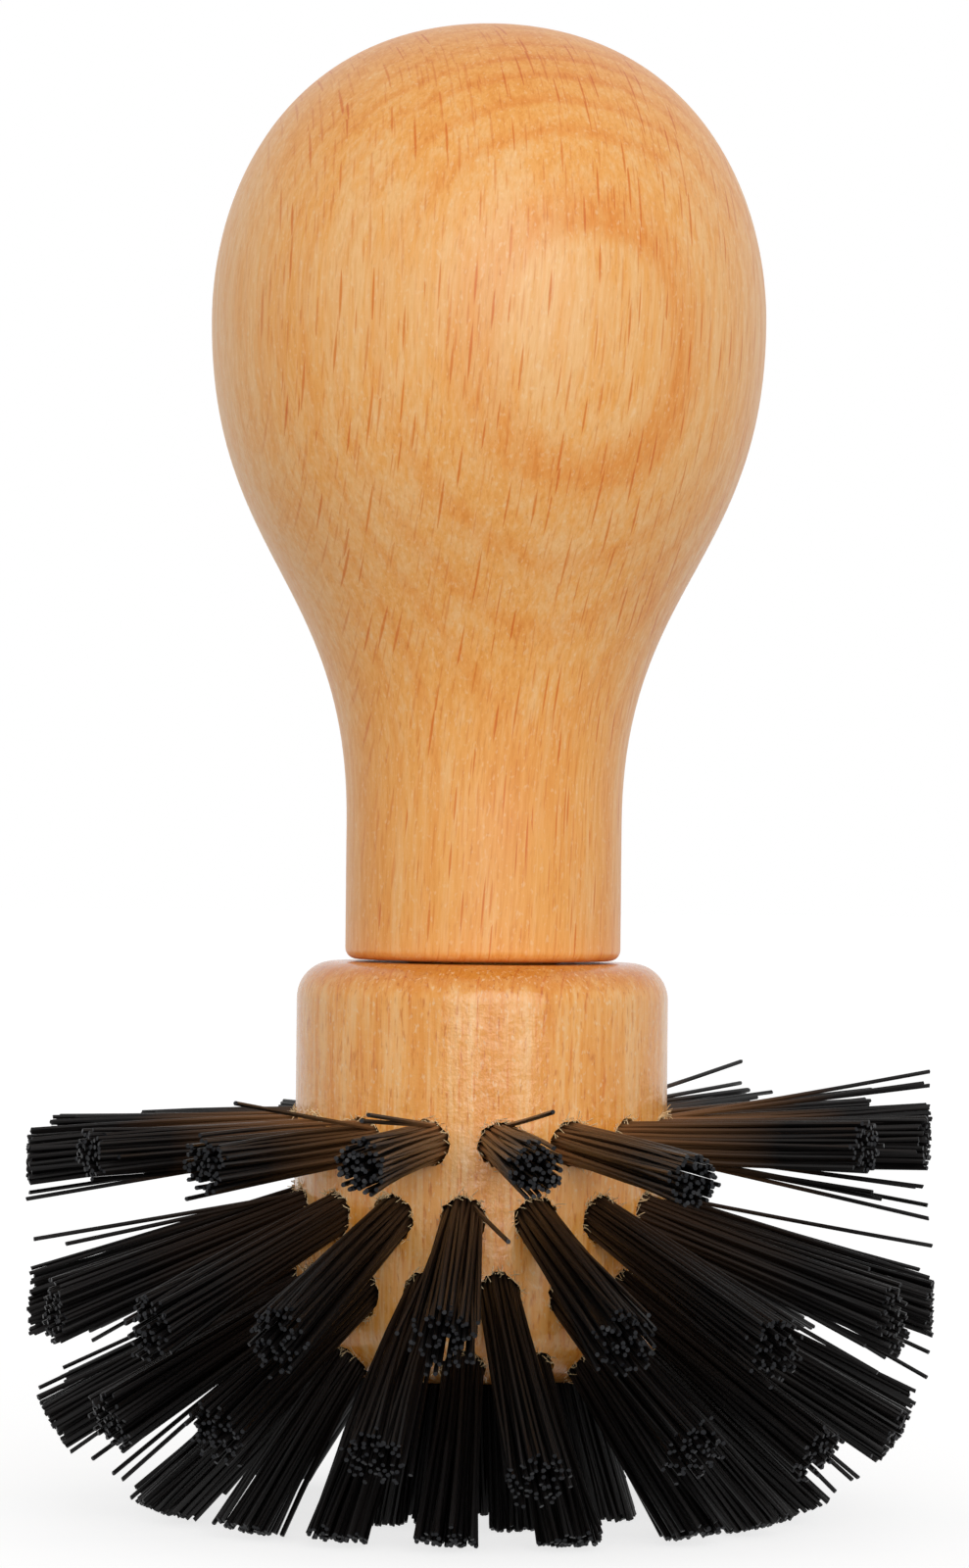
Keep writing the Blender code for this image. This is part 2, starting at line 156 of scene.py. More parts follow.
def length(name, description, default):
    """A property that holds a length in metres."""
    return FloatProperty(name=name, description=description, default=default, unit="LENGTH", precision=5)


def angle(name, description, degrees):
    """A property that holds an angle."""
    return FloatProperty(name=name, description=description, default=math.radians(degrees), unit="ROTATION")


def share(name, description, default):
    """A property that holds a share between 0 and 1."""
    return FloatProperty(
        name=name, description=description, default=default, min=0.0, max=1.0, subtype="FACTOR")


def strength(name, description, default):
    """A property that holds the strength of a light."""
    return FloatProperty(name=name, description=description, default=default, min=0.0)


def colour(name, description, default):
    """A property that holds a colour."""
    return FloatVectorProperty(
        name=name, description=description, default=default, size=3, min=0.0, max=1.0, subtype="COLOR")


class BrushHandleSizes(bpy.types.PropertyGroup):
    """Sizes of the turned handle."""

    knob_radius: length("Knob radius", "Largest radius of the knob", HANDLE_HIGH.x)
    knob_height: length("Knob height", "From the handle's lower end up to the widest place", 43.4 * MM)
    neck_radius: length("Neck radius", "Radius of the straight neck", 9.38 * MM)
    neck_length: length("Neck length", "Straight part above the seam", 9.3 * MM)
    end_round: length("End round", "Rounding of the lower edge", 0.75 * MM)
    pole_pull: share("Pole pull", "How far the top runs level, of the knob's radius", 0.704)
    crown_pull: share("Crown pull", "Fullness of the curve above the widest place", 0.474)
    waist_pull: share("Waist pull", "Fullness of the curve below the widest place", 0.478)
    cove_pull: share("Cove pull", "Length of the hollow curve that runs into the neck", 0.481)
    seam: length("Seam", "Open seam between handle and head", 0.16 * MM)


class BrushHeadSizes(bpy.types.PropertyGroup):
    """Sizes of the drilled head."""

    radius: length("Radius", "Radius of the head", HEAD_HIGH.x)
    shoulder: length("Shoulder", "Rounding of the upper edge", 2.5 * MM)
    end_round: length("End round", "Rounding of the lower edge, where the last row is drilled", 4.1 * MM)
    hole_radius: length("Hole radius", "Radius of the drilled holes", 1.48 * MM)
    hole_depth: length("Hole depth", "Depth of the drilled holes", 3.0 * MM)
    first_row: length("First row", "From the head's top down to the first row of holes", 11.7 * MM)
    row_pitch: length("Row pitch", "Height between two rows of holes", 5.1 * MM)
    tufts_per_row: IntProperty(name="Tufts per row", description="Holes in each row", default=16)
    hole_wear: share("Hole wear", "How ragged the rims of the holes are", 0.12)
    dowel_play: length("Dowel play", "Room left round the dowel", 0.3 * MM)


class BrushBristles(bpy.types.PropertyGroup):
    """Sizes of the filaments, and how they stray."""

    per_tuft: IntProperty(name="Filaments", description="Filament ends in one tuft", default=66)
    radius: length("Radius", "Radius of one filament", 0.156 * MM)
    root_depth: length("Root depth", "How deep a filament is followed into its hole", 2.4 * MM)
    fan_depth: length("Fan depth", "Filaments fan out as from a point this deep", 31.0 * MM)
    scatter: length("Scatter", "How far that point wanders from filament to filament", 0.6 * MM)
    bow: length("Bow", "How far a filament bows out of line", 0.3 * MM)
    uneven: length("Uneven", "How much shorter than the trim a filament may be", 0.42 * MM)
    stray_length: length("Stray length", "How far out a stray filament is aimed", 18.5 * MM)
    trim_radius: length("Trim radius", "Radius that the tufts are trimmed to", CAD_HIGH.x)
    trim_round: length("Trim round", "Rounding of the trimmed lower edge", 12.5 * MM)
    play: length("Play", "How far inside the CAD model's outline the filaments end", 0.17 * MM)
    wander: angle("Wander", "How far a tuft strays from its hole's axis", 1.5)
    seed: IntProperty(name="Seed", description="Seed of everything random", default=7)
    # Painted light: warm brown that stands in for light getting in among the filaments near the wood
    lit_root_colour: colour("Root", "Colour near the wood, lit from above", (0.20, 0.095, 0.037))
    tip_colour: colour("Tip", "Colour further out", (0.0040, 0.0033, 0.0033))
    # Painted glint: the cut ends are tinted paler and bluer than the filaments
    cut_glint_colour: colour("Cut", "Colour of the cut ends", (0.0062, 0.0068, 0.0088))


class BrushFuzz(bpy.types.PropertyGroup):
    """Torn wood fibre round the holes."""

    per_hole: IntProperty(name="Fibres", description="Fibres round one hole", default=75)
    radius: length("Radius", "Radius of one fibre", 0.03 * MM)
    longest: length("Longest", "Length of the longest fibre", 0.62 * MM)
    tint: colour("Tint", "Colour of bare torn fibre", (0.82, 0.60, 0.31))
    pale_tint: colour("Pale tint", "Colour of the palest fibre", (0.86, 0.67, 0.40))


class BrushBeech(bpy.types.PropertyGroup):
    """Figure and colours of one piece of beech."""

    pith_azimuth: angle("Pith azimuth", "Where the tree's pith lay, 0 at the front, 90 to the right", 198.6)
    pith_distance: length("Pith distance", "From the piece's axis to the pith", 70.0 * MM)
    border: length("Border", "Radius of the last border between two growth rings", 87.7 * MM)
    last_width: length("Last width", "Width of the growth ring inside that border", 2.75 * MM)
    ring_width: length("Ring width", "Width of the older growth rings", 1.7 * MM)
    level: length("Level", "Height at which the border has that radius", 79.5 * MM)
    dip: share("Dip", "How much wider the rings get for each metre down", 0.055)
    lean: share("Lean", "How far the grain leans to the right for each metre up", 0.06)
    figure: share("Figure", "How plain the older growth rings are", 0.75)
    warmth: share("Warmth", "How much orange the wood has all over", 0.2)
    blush: share("Blush", "How much more orange it has some way down", 0.26)
    pale: colour("Pale", "Early wood", (0.93, 0.515, 0.194))
    honey: colour("Honey", "Middle of a ring", (0.91, 0.420, 0.102))
    orange: colour("Orange", "Late wood and end grain", (0.84, 0.32, 0.044))
    line: colour("Line", "What the border of a ring leaves of the colour", (0.92, 0.69, 0.38))
    # Darkens end grain that faces up, partly as wax and partly as painted shade; paints shade under lower
    # edges
    wax_and_shade: colour("Wax", "What wax leaves of the colour on end grain", (0.78, 0.66, 0.50))
    pore: colour("Pore", "What a pore leaves of the colour", (0.72, 0.46, 0.22))
    speck: colour("Speck", "Colour of the pale specks", (0.95, 0.65, 0.36))
    fleck: colour("Fleck", "What a ray fleck leaves of the colour", (0.84, 0.51, 0.20))
    fleck_depth: share("Fleck depth", "How plain the ray flecks are", 1.0)
    streaking: share("Streaking", "How plain the upright streaks are", 0.3)
    pores: share("Pores", "How plain the short dark pores are", 0.25)
    dents: share("Dents", "How uneven the turned surface is", 0.1)
    # Partly wax, partly painted shade on end grain that faces up
    shade: share("Shade", "How much darker wax leaves the end grain", 0.0)
    gloss: share("Roughness", "Roughness of the waxed surface", 0.36)


class BrushStage(bpy.types.PropertyGroup):
    """Camera, light and floor."""

    distance: length("Distance", "From the brush's axis to the camera", 400.0 * MM)
    eye_height: length("Eye height", "Height of the camera", 46.4 * MM)
    aim_height: length("Aim height", "Height in the middle of the picture", 49.8 * MM)
    picture_height: length("Picture height", "Height that the picture spans at the axis", 106.9 * MM)
    roll: angle("Roll", "Roll of the camera", 0.57)
    key_azimuth: angle("Key azimuth", "Side of the key light, 0 at the front, 90 to the right", 9.0)
    key_height: angle("Key height", "How high the key light stands", 8.0)
    key_spread: angle("Key spread", "How broad and soft the key light is", 56.0)
    key_strength: strength("Key strength", "Strength of the key light", 2.05)
    level_light: strength("Level light", "Soft light from the level and below", 0.79)
    top_light: strength("Top light", "Soft light from straight above", 0.34)
    floor_size: length("Floor size", "From the middle of the floor to its edge", 3.0)
    floor_tint: colour("Floor", "Colour with which the floor throws light back", (0.5, 0.5, 0.5))
    floor_seen: colour("Floor seen", "Colour of the floor as the camera sees it", (0.45, 0.45, 0.45))
    floor_glow: strength("Floor glow", "What is added to the floor as the camera sees it", 0.75)


def turned(name, profile, steps):
    """Turn a profile of (radius, height) points around the axis, down the outer side."""
    bm = bmesh.new()
    verts = [bm.verts.new((radius, 0.0, height)) for radius, height in profile]
    for first, second in zip(verts, verts[1:]):
        bm.edges.new((first, second))
    obj = new_object(name, bm)
    screw = obj.modifiers.new("Turn", "SCREW")
    screw.steps = steps
    screw.render_steps = steps
    screw.use_merge_vertices = True
    screw.merge_threshold = MERGE
    settle(obj)
    return obj


def add_object(name, data):
    """An object that holds a mesh, lamp or camera, in the scene."""
    obj = bpy.data.objects.new(name, data)
    bpy.context.scene.collection.objects.link(obj)
    return obj


def new_object(name, bm):
    """An object that holds what a bmesh holds."""
    mesh = bpy.data.meshes.new(name)
    bm.to_mesh(mesh)
    bm.free()
    return add_object(name, mesh)


def settle(obj):
    """Apply an object's modifiers, and shade it smooth between its sharp edges."""
    depsgraph = bpy.context.evaluated_depsgraph_get()
    mesh = bpy.data.meshes.new_from_object(obj.evaluated_get(depsgraph))
    mesh.name = obj.name
    obj.modifiers.clear()
    obj.data = mesh
    mesh.shade_smooth()
    mesh.set_sharp_from_angle(angle=SHARP_EDGE)


def arc(centre, radius, start, end, count):
    """Points on an arc in the profile's plane, from one angle to another."""
    points = []
    for i in range(count + 1):
        turn = start + (end - start) * i / count
        points.append((centre[0] + radius * math.cos(turn), centre[1] + radius * math.sin(turn)))
    return points


def curve(start, start_pull, end_pull, end, count):
    """Points on a Bezier curve in the profile's plane."""
    corners = [Vector((radius, height, 0.0)) for radius, height in (start, start_pull, end_pull, end)]
    return [(point.x, point.y) for point in interpolate_bezier(*corners, count)]


def outward(azimuth, tilt):
    """Direction at an azimuth, 0 at the front and 90 degrees to the right, leaning down by tilt."""
    level = math.cos(tilt)
    return Vector((level * math.sin(azimuth), -level * math.cos(azimuth), -math.sin(tilt)))


class Hole:
    """A drilled hole: where its mouth lies, the axis out of it and a level direction across."""

    def __init__(self, mouth, azimuth, tilt):
        self.mouth = mouth
        self.axis = outward(azimuth, tilt)
        self.side = outward(azimuth + math.pi / 2, 0.0)
        self.toward = self.axis
        self.azimuth = azimuth
        self.tilt = tilt

    def leaning(self, turn, droop):
        """The same hole, with a tuft that strays from its axis by two angles."""
        hole = Hole(self.mouth, self.azimuth, self.tilt)
        hole.toward = outward(self.azimuth + turn, self.tilt + droop)
        return hole

    def straying(self, turn, droop, room, length):
        """A filament at the hole's edge, which ends where one from the middle would at that length."""
        hole = self.leaning(turn, droop)
        tip = hole.mouth + hole.toward * length
        edge = self.side * turn - self.axis.cross(self.side) * droop
        hole.mouth = self.mouth + edge.normalized() * room
        hole.toward = (tip - hole.mouth).normalized()
        return hole

    def place(self):
        """Matrix that brings the origin to the mouth and +Z to the axis out of the hole."""
        axes = Matrix((self.side, self.axis.cross(self.side), self.axis)).transposed().to_4x4()
        return Matrix.Translation(self.mouth) @ axes


ROW_TILTS = tuple(math.radians(tilt) for tilt in (3, 20.5, 29, 45))
ROW_SHIFTS = tuple(math.radians(shift) for shift in (0.5, 0.4, 0.2, 0.6))
END_RINGS = (
    ("centre", 1, 0.0, 0.0),
    ("inner", 6, 3.5 * MM, math.radians(9.0)),
    ("outer", 12, 6.6 * MM, math.radians(16.0)),
)

# How deep the filaments of each row fan out from, as a share of the fan depth, and how much
# painted warm light lies on their roots, less in the rows that those above shade
FAN_SHARES = (1.9, 1.0, 1.0, 0.9)
GLOW_SHARES = (1.0, 0.16, 0.07, 0.03)

# How the tufts on the photographed side stray from their holes, in degrees round and down.
# For each row: the first hole that is given, and the tufts from there on
LEANS = (
    (12, ((-0.5, 2.5), (8.5, -1), (6.5, -0.5), (3.5, -1), (1, -1), (-4, 1.5), (6.5, -4), (3, -3.5),
          (-1.5, -5), (-1, -4), (2, -5))),
    (13, ((11, -1), (10.5, -1), (5, -0.5), (2, -1.5), (0.5, -1), (-2.5, 1), (0.5, -2), (-2.5, -2))),
    (13, ((12.5, -4), (8, -4), (6.5, -0.5), (3.5, 4), (0, -2), (-1.5, 1), (-1, 0.5))),
    (14, ((12.5, 0), (5.5, 0), (-0.5, 0), (-1.5, 2), (2, 0), (-4.5, 0))),
)

# Single filaments that stand out of their tufts: row, hole, degrees round and down, reach
STRAYS = (
    (0, 15, 4.7, -12.0, 1.0), (0, 15, 3.9, -10.3, 1.0), (0, 14, 14.0, -12.9, 1.0), (0, 0, 3.7, -12.6, 1.0),
    (0, 6, 2.0, -15.8, 1.0), (0, 6, 1.0, -11.3, 0.98), (0, 6, -1.0, -10.0, 0.98), (0, 6, -6.5, -9.2, 1.0),
    (0, 6, 0.0, -8.6, 0.96), (0, 4, -3.0, -16.8, 1.0), (0, 4, -2.0, -13.8, 1.0), (0, 4, -4.0, -14.6, 0.98),
    (0, 5, -3.0, -12.0, 1.0), (0, 3, 5.0, 12.0, 1.0), (0, 3, 7.0, 9.6, 1.0), (0, 3, 3.0, 8.6, 0.8),
    (0, 3, 4.0, 10.0, 0.83), (0, 3, 6.0, 6.0, 1.0), (0, 3, 6.5, 6.4, 0.98), (0, 12, -3.0, 10.0, 1.0),
    (0, 12, -1.0, 10.8, 1.0), (0, 11, -16.0, 7.5, 1.0), (0, 11, -17.5, 8.6, 1.0), (0, 11, -15.0, 8.0, 0.97),
    (0, 14, 1.0, 6.8, 1.0), (0, 14, 4.0, 6.0, 0.95), (0, 13, 5.0, -5.5, 1.0), (1, 0, 15.2, -20.0, 1.0),
    (1, 13, -7.8, -14.0, 1.0), (1, 13, -5.8, -13.2, 0.87), (1, 4, -6.8, -15.0, 1.0),
    (1, 4, -8.8, 10.0, 1.0), (1, 3, -1.8, 9.0, 0.97), (1, 3, 0.2, -9.0, 0.9), (2, 13, -6.9, 6.0, 1.0),
    (2, 13, -3.9, 11.0, 1.0), (2, 13, -1.9, 12.0, 0.98), (2, 3, -10.9, 10.0, 1.0), (2, 3, -11.9, 14.0, 1.0),
)


def row_mouth(head, row):
    """Radius and height of the mouths of one row. The last is drilled square into the lower edge."""
    if row < len(ROW_TILTS) - 1:
        return head.radius, HEAD_HIGH.z - head.first_row - row * head.row_pitch
    tilt = ROW_TILTS[row]
    return (head.radius - head.end_round * (1.0 - math.cos(tilt)),
            HEAD_LOW.z + head.end_round * (1.0 - math.sin(tilt)))


def surface_radius(head, height):
    """Radius of the head's side at a height, also on the rounding of its lower edge."""
    fall = max(HEAD_LOW.z + head.end_round - height, 0.0)
    inset = head.end_round - math.sqrt(max(head.end_round ** 2 - fall ** 2, 0.0))
    return head.radius - inset


def row_holes(head, row):
    """The holes of one row around the head. Every other row is turned by half a pitch."""
    pitch = math.tau / head.tufts_per_row
    radius, height = row_mouth(head, row)
    holes = []
    for i in range(head.tufts_per_row):
        azimuth = (i + (0.25 if row % 2 == 0 else -0.25)) * pitch + ROW_SHIFTS[row]
        mouth = outward(azimuth, 0.0) * radius + Vector((0.0, 0.0, height))
        holes.append(Hole(mouth, azimuth, ROW_TILTS[row]))
    return holes


def ring_holes(ring):
    """The holes of one ring in the head's end."""
    _, count, radius, skew = ring
    holes = []
    for i in range(count):
        azimuth = (i + 0.5) * math.tau / count
        mouth = outward(azimuth, 0.0) * radius + Vector((0.0, 0.0, HEAD_LOW.z))
        holes.append(Hole(mouth, azimuth, math.pi / 2 - skew))
    return holes


def leaning_holes(head, row, bristles):
    """The holes of one row, each with the way that its tuft strays."""
    chance = random.Random(bristles.seed + row)
    first, leans = LEANS[row]
    holes = []
    for i, hole in enumerate(row_holes(head, row)):
        given = (i - first) % head.tufts_per_row
        if given < len(leans):
            turn, droop = (math.radians(value) for value in leans[given])
        else:
            turn, droop = (chance.gauss(0.0, bristles.wander) for _ in range(2))
        holes.append(hole.leaning(turn, droop))
    return holes


class Tree:
    """A node tree while it is being wired up."""

    def __init__(self, tree):
        self.tree = tree

    def feed(self, socket, value):
        """Link or set an input. A colour is given as three numbers."""
        if isinstance(value, bpy.types.NodeSocket):
            self.tree.links.new(value, socket)
        elif socket.type == "RGBA":
            socket.default_value = (*value, 1.0)
        else:
            socket.default_value = value

    def node(self, kind, settings=None, **inputs):
        """Add a node. Its inputs are given by name, with _ for a space."""
        node = self.tree.nodes.new(kind)
        for name, value in (settings or {}).items():
            setattr(node, name, value)
        for name, value in inputs.items():
            self.feed(node.inputs[name.replace("_", " ")], value)
        return node

    def maths(self, operation, *values):
        """A Math node's result."""
        node = self.node("ShaderNodeMath", {"operation": operation})
        for socket, value in zip(node.inputs, values):
            self.feed(socket, value)
        return node.outputs[0]

    def plus(self, first, second):
        """The sum of two numbers."""
        return self.maths("ADD", first, second)

    def minus(self, first, second):
        """The difference of two numbers."""
        return self.maths("SUBTRACT", first, second)

    def times(self, first, *others):
        """The product of two numbers or more."""
        for other in others:
            first = self.maths("MULTIPLY", first, other)
        return first

    def vector(self, operation, *values):
        """A Vector Math node's result."""
        node = self.node("ShaderNodeVectorMath", {"operation": operation})
        for socket, value in zip(node.inputs, values):
            self.feed(socket, value)
        return node.outputs["Value" if operation in ("LENGTH", "DOT_PRODUCT") else "Vector"]

    def scaled(self, vector, amount):
        """A vector times a number."""
        node = self.node("ShaderNodeVectorMath", {"operation": "SCALE"}, Vector=vector, Scale=amount)
        return node.outputs[0]

    def total(self, *vectors):
        """The sum of several vectors."""
        result = vectors[0]
        for item in vectors[1:]:
            result = self.vector("ADD", result, item)
        return result

    def combine(self, x, y, z):
        """A vector from three numbers."""
        return self.node("ShaderNodeCombineXYZ", X=x, Y=y, Z=z).outputs[0]

    def separate(self, vector):
        """A vector's three numbers."""
        return self.node("ShaderNodeSeparateXYZ", Vector=vector).outputs[:3]

    def random(self, low, high, who, seed):
        """A random number for each item."""
        node = self.node("FunctionNodeRandomValue")
        for socket, value in ((node.inputs[2], low), (node.inputs[3], high), (node.inputs["ID"], who),
                              (node.inputs["Seed"], seed)):
            self.feed(socket, value)
        return node.outputs[1]

    def attribute(self, name, data_type):
        """A named attribute of a geometry."""
        return self.node("GeometryNodeInputNamedAttribute", {"data_type": data_type}, Name=name).outputs[0]

    def noise(self, vector, scale, detail=2.0, roughness=0.5):
        """A Noise Texture node."""
        return self.node(
            "ShaderNodeTexNoise", Vector=vector, Scale=scale, Detail=detail, Roughness=roughness)

    def ramp(self, value, low, high, to_low=0.0, to_high=1.0, smooth=False):
        """A number brought from one range to another, and held inside it."""
        kind = "SMOOTHSTEP" if smooth else "LINEAR"
        node = self.node("ShaderNodeMapRange", {"interpolation_type": kind, "clamp": True})
        for socket, item in zip(node.inputs, (value, low, high, to_low, to_high)):
            self.feed(socket, item)
        return node.outputs[0]

    def mix(self, factor, first, second, blend="MIX"):
        """Two colours mixed."""
        node = self.node("ShaderNodeMix", {"data_type": "RGBA", "blend_type": blend})
        for socket, value in zip((node.inputs[0], node.inputs[6], node.inputs[7]), (factor, first, second)):
            self.feed(socket, value)
        return node.outputs[2]


def new_tree(name, inputs):
    """A Geometry Nodes tree with the given named inputs after its geometry."""
    group = bpy.data.node_groups.new(name, "GeometryNodeTree")
    group.interface.new_socket("Geometry", in_out="INPUT", socket_type="NodeSocketGeometry")
    for label, kind in inputs:
        group.interface.new_socket(label, in_out="INPUT", socket_type=f"NodeSocket{kind}")
    group.interface.new_socket("Geometry", in_out="OUTPUT", socket_type="NodeSocketGeometry")
    tree = Tree(group)
    return tree, tree.node("NodeGroupInput").outputs


def capture(tree, geometry, items):
    """Capture fields on a geometry's points. Gives the geometry and the captured fields."""
    node = tree.node("GeometryNodeCaptureAttribute", {"domain": "POINT"}, Geometry=geometry)
    for name, kind, value in items:
        node.capture_items.new(kind, name)
        tree.feed(node.inputs[name], value)
    return node.outputs["Geometry"], {name: node.outputs[name] for name, kind, value in items}


def grow(name, seeds, group, inputs):
    """Run a tree on an object of seed points, and keep the result as a plain mesh object."""
    modifier = seeds.modifiers.new("Grow", "NODES")
    modifier.node_group = group
    for item in group.interface.items_tree:
        if item.in_out == "INPUT" and item.name in inputs:
            modifier[item.identifier] = inputs[item.name]
    depsgraph = bpy.context.evaluated_depsgraph_get()
    mesh = bpy.data.meshes.new_from_object(seeds.evaluated_get(depsgraph))
    bpy.data.objects.remove(seeds)
    mesh.name = name
    mesh.shade_smooth()
    mesh.set_sharp_from_angle(angle=SHARP_TUBE_EDGE)
    return add_object(name, mesh)


def tubes(tree, points, line, radius, sides, material):
    """Realise one tube for each point, along the places that line gives. Ends in Set Material."""
    steps, place, radius_share, marks = line
    start = tree.node("GeometryNodeCurvePrimitiveLine").outputs[0]
    bare = tree.node("GeometryNodeResampleCurve", Curve=start, Count=steps).outputs[0]
    copies = tree.node("GeometryNodeInstanceOnPoints", Points=points, Instance=bare).outputs[0]
    curves = tree.node("GeometryNodeRealizeInstances", Geometry=copies).outputs[0]
    curves = tree.node("GeometryNodeSetPosition", Geometry=curves, Position=place).outputs[0]
    curves = tree.node("GeometryNodeSetCurveRadius", Curve=curves, Radius=radius_share).outputs[0]
    for name, value in marks:
        curves = tree.node(
            "GeometryNodeStoreNamedAttribute", {"data_type": "FLOAT", "domain": "POINT"},
            Geometry=curves, Name=name, Value=value).outputs[0]
    circle = tree.node("GeometryNodeCurvePrimitiveCircle", Resolution=sides, Radius=radius).outputs[0]
    tube = tree.node(
        "GeometryNodeCurveToMesh", Curve=curves, Profile_Curve=circle, Fill_Caps=True).outputs[0]
    painted = tree.node("GeometryNodeSetMaterial", Geometry=tube, Material=material).outputs[0]
    output = tree.node("NodeGroupOutput")
    tree.feed(output.inputs[0], painted)


def filament_tree():
    """Geometry Nodes that turn each hole's seed point into a tuft of single filaments."""
    tree, given = new_tree("Filament tufts", (
        ("Outline", "Object"), ("Radius", "Float"), ("Sides", "Int"), ("Root Depth", "Float"),
        ("Fan Depth", "Float"), ("Scatter", "Float"), ("Bow", "Float"), ("Uneven", "Float"),
        ("Glow", "Float"), ("Seed", "Int"), ("Material", "Material")))

    index = tree.node("GeometryNodeInputIndex").outputs[0]
    seeds, kept = capture(tree, given["Geometry"], [("Tuft", "INT", index)])
    amount = tree.attribute("filaments", "INT")
    many = tree.node("GeometryNodeDuplicateElements", {"domain": "POINT"}, Geometry=seeds, Amount=amount)
    number = many.outputs["Duplicate Index"]
    who = tree.maths("MULTIPLY_ADD", kept["Tuft"], TUFT_STEP, number)

    def chance(low, high, salt):
        """A random number for each filament, another one for each salt."""
        return tree.random(low, high, who, tree.plus(given["Seed"], float(salt)))

    # Where each filament leaves its hole: packed evenly, in the way of a sunflower's seeds
    axis, side, toward = (tree.attribute(name, "FLOAT_VECTOR") for name in ("axis", "side", "toward"))
    across = tree.vector("CROSS_PRODUCT", axis, side)
    turn = tree.maths("MULTIPLY_ADD", number, GOLDEN_ANGLE, kept["Tuft"])
    out = tree.maths("SQRT", tree.maths("DIVIDE", tree.plus(number, 0.5), amount))
    out = tree.times(out, tree.attribute("pack", "FLOAT"))
    offset = tree.total(
        tree.scaled(side, tree.times(out, tree.maths("COSINE", turn))),
        tree.scaled(across, tree.times(out, tree.maths("SINE", turn))))
    here = tree.node("GeometryNodeInputPosition").outputs[0]
    mouth = tree.vector("ADD", here, offset)

    # Which way it heads
    wide = tree.maths("GREATER_THAN", chance(0.0, 1.0, 1), WIDE_FROM)
    spread = tree.times(given["Scatter"], tree.maths("MULTIPLY_ADD", wide, WIDER, 1.0))
    depth = tree.times(given["Fan Depth"], chance(*FAN_DEPTH_SHARES, 2))
    heading = tree.total(
        tree.scaled(toward, depth), offset,
        tree.scaled(side, tree.times(spread, chance(-1.0, 1.0, 3))),
        tree.scaled(across, tree.times(spread, chance(-1.0, 1.0, 4))))
    heading = tree.vector("NORMALIZE", heading)

    # How far it reaches: to the trimmed outline, less what it is cut shorter
    outline = tree.node("GeometryNodeObjectInfo", Object=given["Outline"]).outputs["Geometry"]
    hit = tree.node("GeometryNodeRaycast", Target_Geometry=outline, Source_Position=mouth,
                    Ray_Direction=heading, Ray_Length=CAD_HIGH.z).outputs["Hit Distance"]
    reach = tree.times(hit, tree.attribute("reach", "FLOAT"))
    loss = tree.maths("POWER", chance(0.0, 1.0, 5), 2.0)
    cropped = tree.maths("GREATER_THAN", chance(0.0, 1.0, 6), CROPPED_FROM)
    loss = tree.plus(loss, tree.times(cropped, chance(0.0, CROPPED_BY, 7)))
    reach = tree.minus(reach, tree.times(loss, given["Uneven"]))

    # Its root, bend, tip and cut end
    tip = tree.vector("ADD", mouth, tree.scaled(heading, reach))
    loose = tree.minus(1.0, tree.attribute("steady", "FLOAT"))
    bow = tree.times(given["Bow"], loose)
    bend = tree.total(
        tree.scaled(axis, tree.times(reach, tree.times(loose, LIFT_SHARE))),
        tree.scaled(heading, tree.times(reach, KNEE_SHARE)),
        tree.scaled(side, tree.times(bow, chance(-1.0, 1.0, 8))),
        tree.scaled(across, tree.times(bow, chance(-1.0, 1.0, 9))))
    knee = tree.vector("ADD", mouth, bend)
    root = tree.vector("SUBTRACT", mouth, tree.scaled(axis, given["Root Depth"]))
    cut = tree.total(
        tree.scaled(heading, CUT_LENGTH),
        tree.scaled(side, chance(-CUT_SLANT, CUT_SLANT, 11)),
        tree.scaled(across, chance(-CUT_SLANT, CUT_SLANT, 12)))
    points, path = capture(tree, many.outputs["Geometry"], [
        ("Root", "VECTOR", root), ("Mouth", "VECTOR", mouth), ("Knee", "VECTOR", knee),
        ("Tip", "VECTOR", tip), ("Tone", "FLOAT", chance(0.0, 1.0, 10)), ("Cut", "VECTOR", cut),
        ("Glow", "FLOAT", given["Glow"])])

    # Its points: the root, a curve from mouth to tip that the knee pulls aside, and the cut
    step = tree.node("GeometryNodeSplineParameter").outputs["Index"]
    along = tree.ramp(step, 1.0, FILAMENT_POINTS - 2.0)
    back = tree.minus(1.0, along)
    place = tree.total(
        tree.scaled(path["Mouth"], tree.times(back, back)),
        tree.scaled(path["Knee"], tree.times(2.0, along, back)),
        tree.scaled(path["Tip"], tree.times(along, along)))
    first = tree.maths("LESS_THAN", step, 0.5)
    last = tree.maths("GREATER_THAN", step, FILAMENT_POINTS - 1.5)
    place = tree.total(
        place,
        tree.scaled(tree.vector("SUBTRACT", path["Root"], path["Mouth"]), first),
        tree.scaled(path["Cut"], last))
    radius_share = tree.maths("MULTIPLY_ADD", last, CUT_SHARE - 1.0, 1.0)
    marks = [("along", tree.plus(along, last)), ("tone", path["Tone"]), ("glow", path["Glow"])]
    line = (FILAMENT_POINTS, place, radius_share, marks)
    tubes(tree, points, line, given["Radius"], given["Sides"], given["Material"])
    return tree.tree


def trim_outline(bristles):
    """A closed surface that the filaments are trimmed to, as a helper."""
    radius = bristles.trim_radius - bristles.play
    rounding = bristles.trim_round
    profile = [(0.0, HANDLE_LOW.z), (radius, HANDLE_LOW.z)]
    edge = (radius - rounding, rounding + bristles.play)
    profile += arc(edge, rounding, 0.0, -math.pi / 2, TRIM_EDGE_STEPS)
    profile.append((0.0, bristles.play))
    return turned("trim_outline", profile, TRIM_TURN_STEPS)


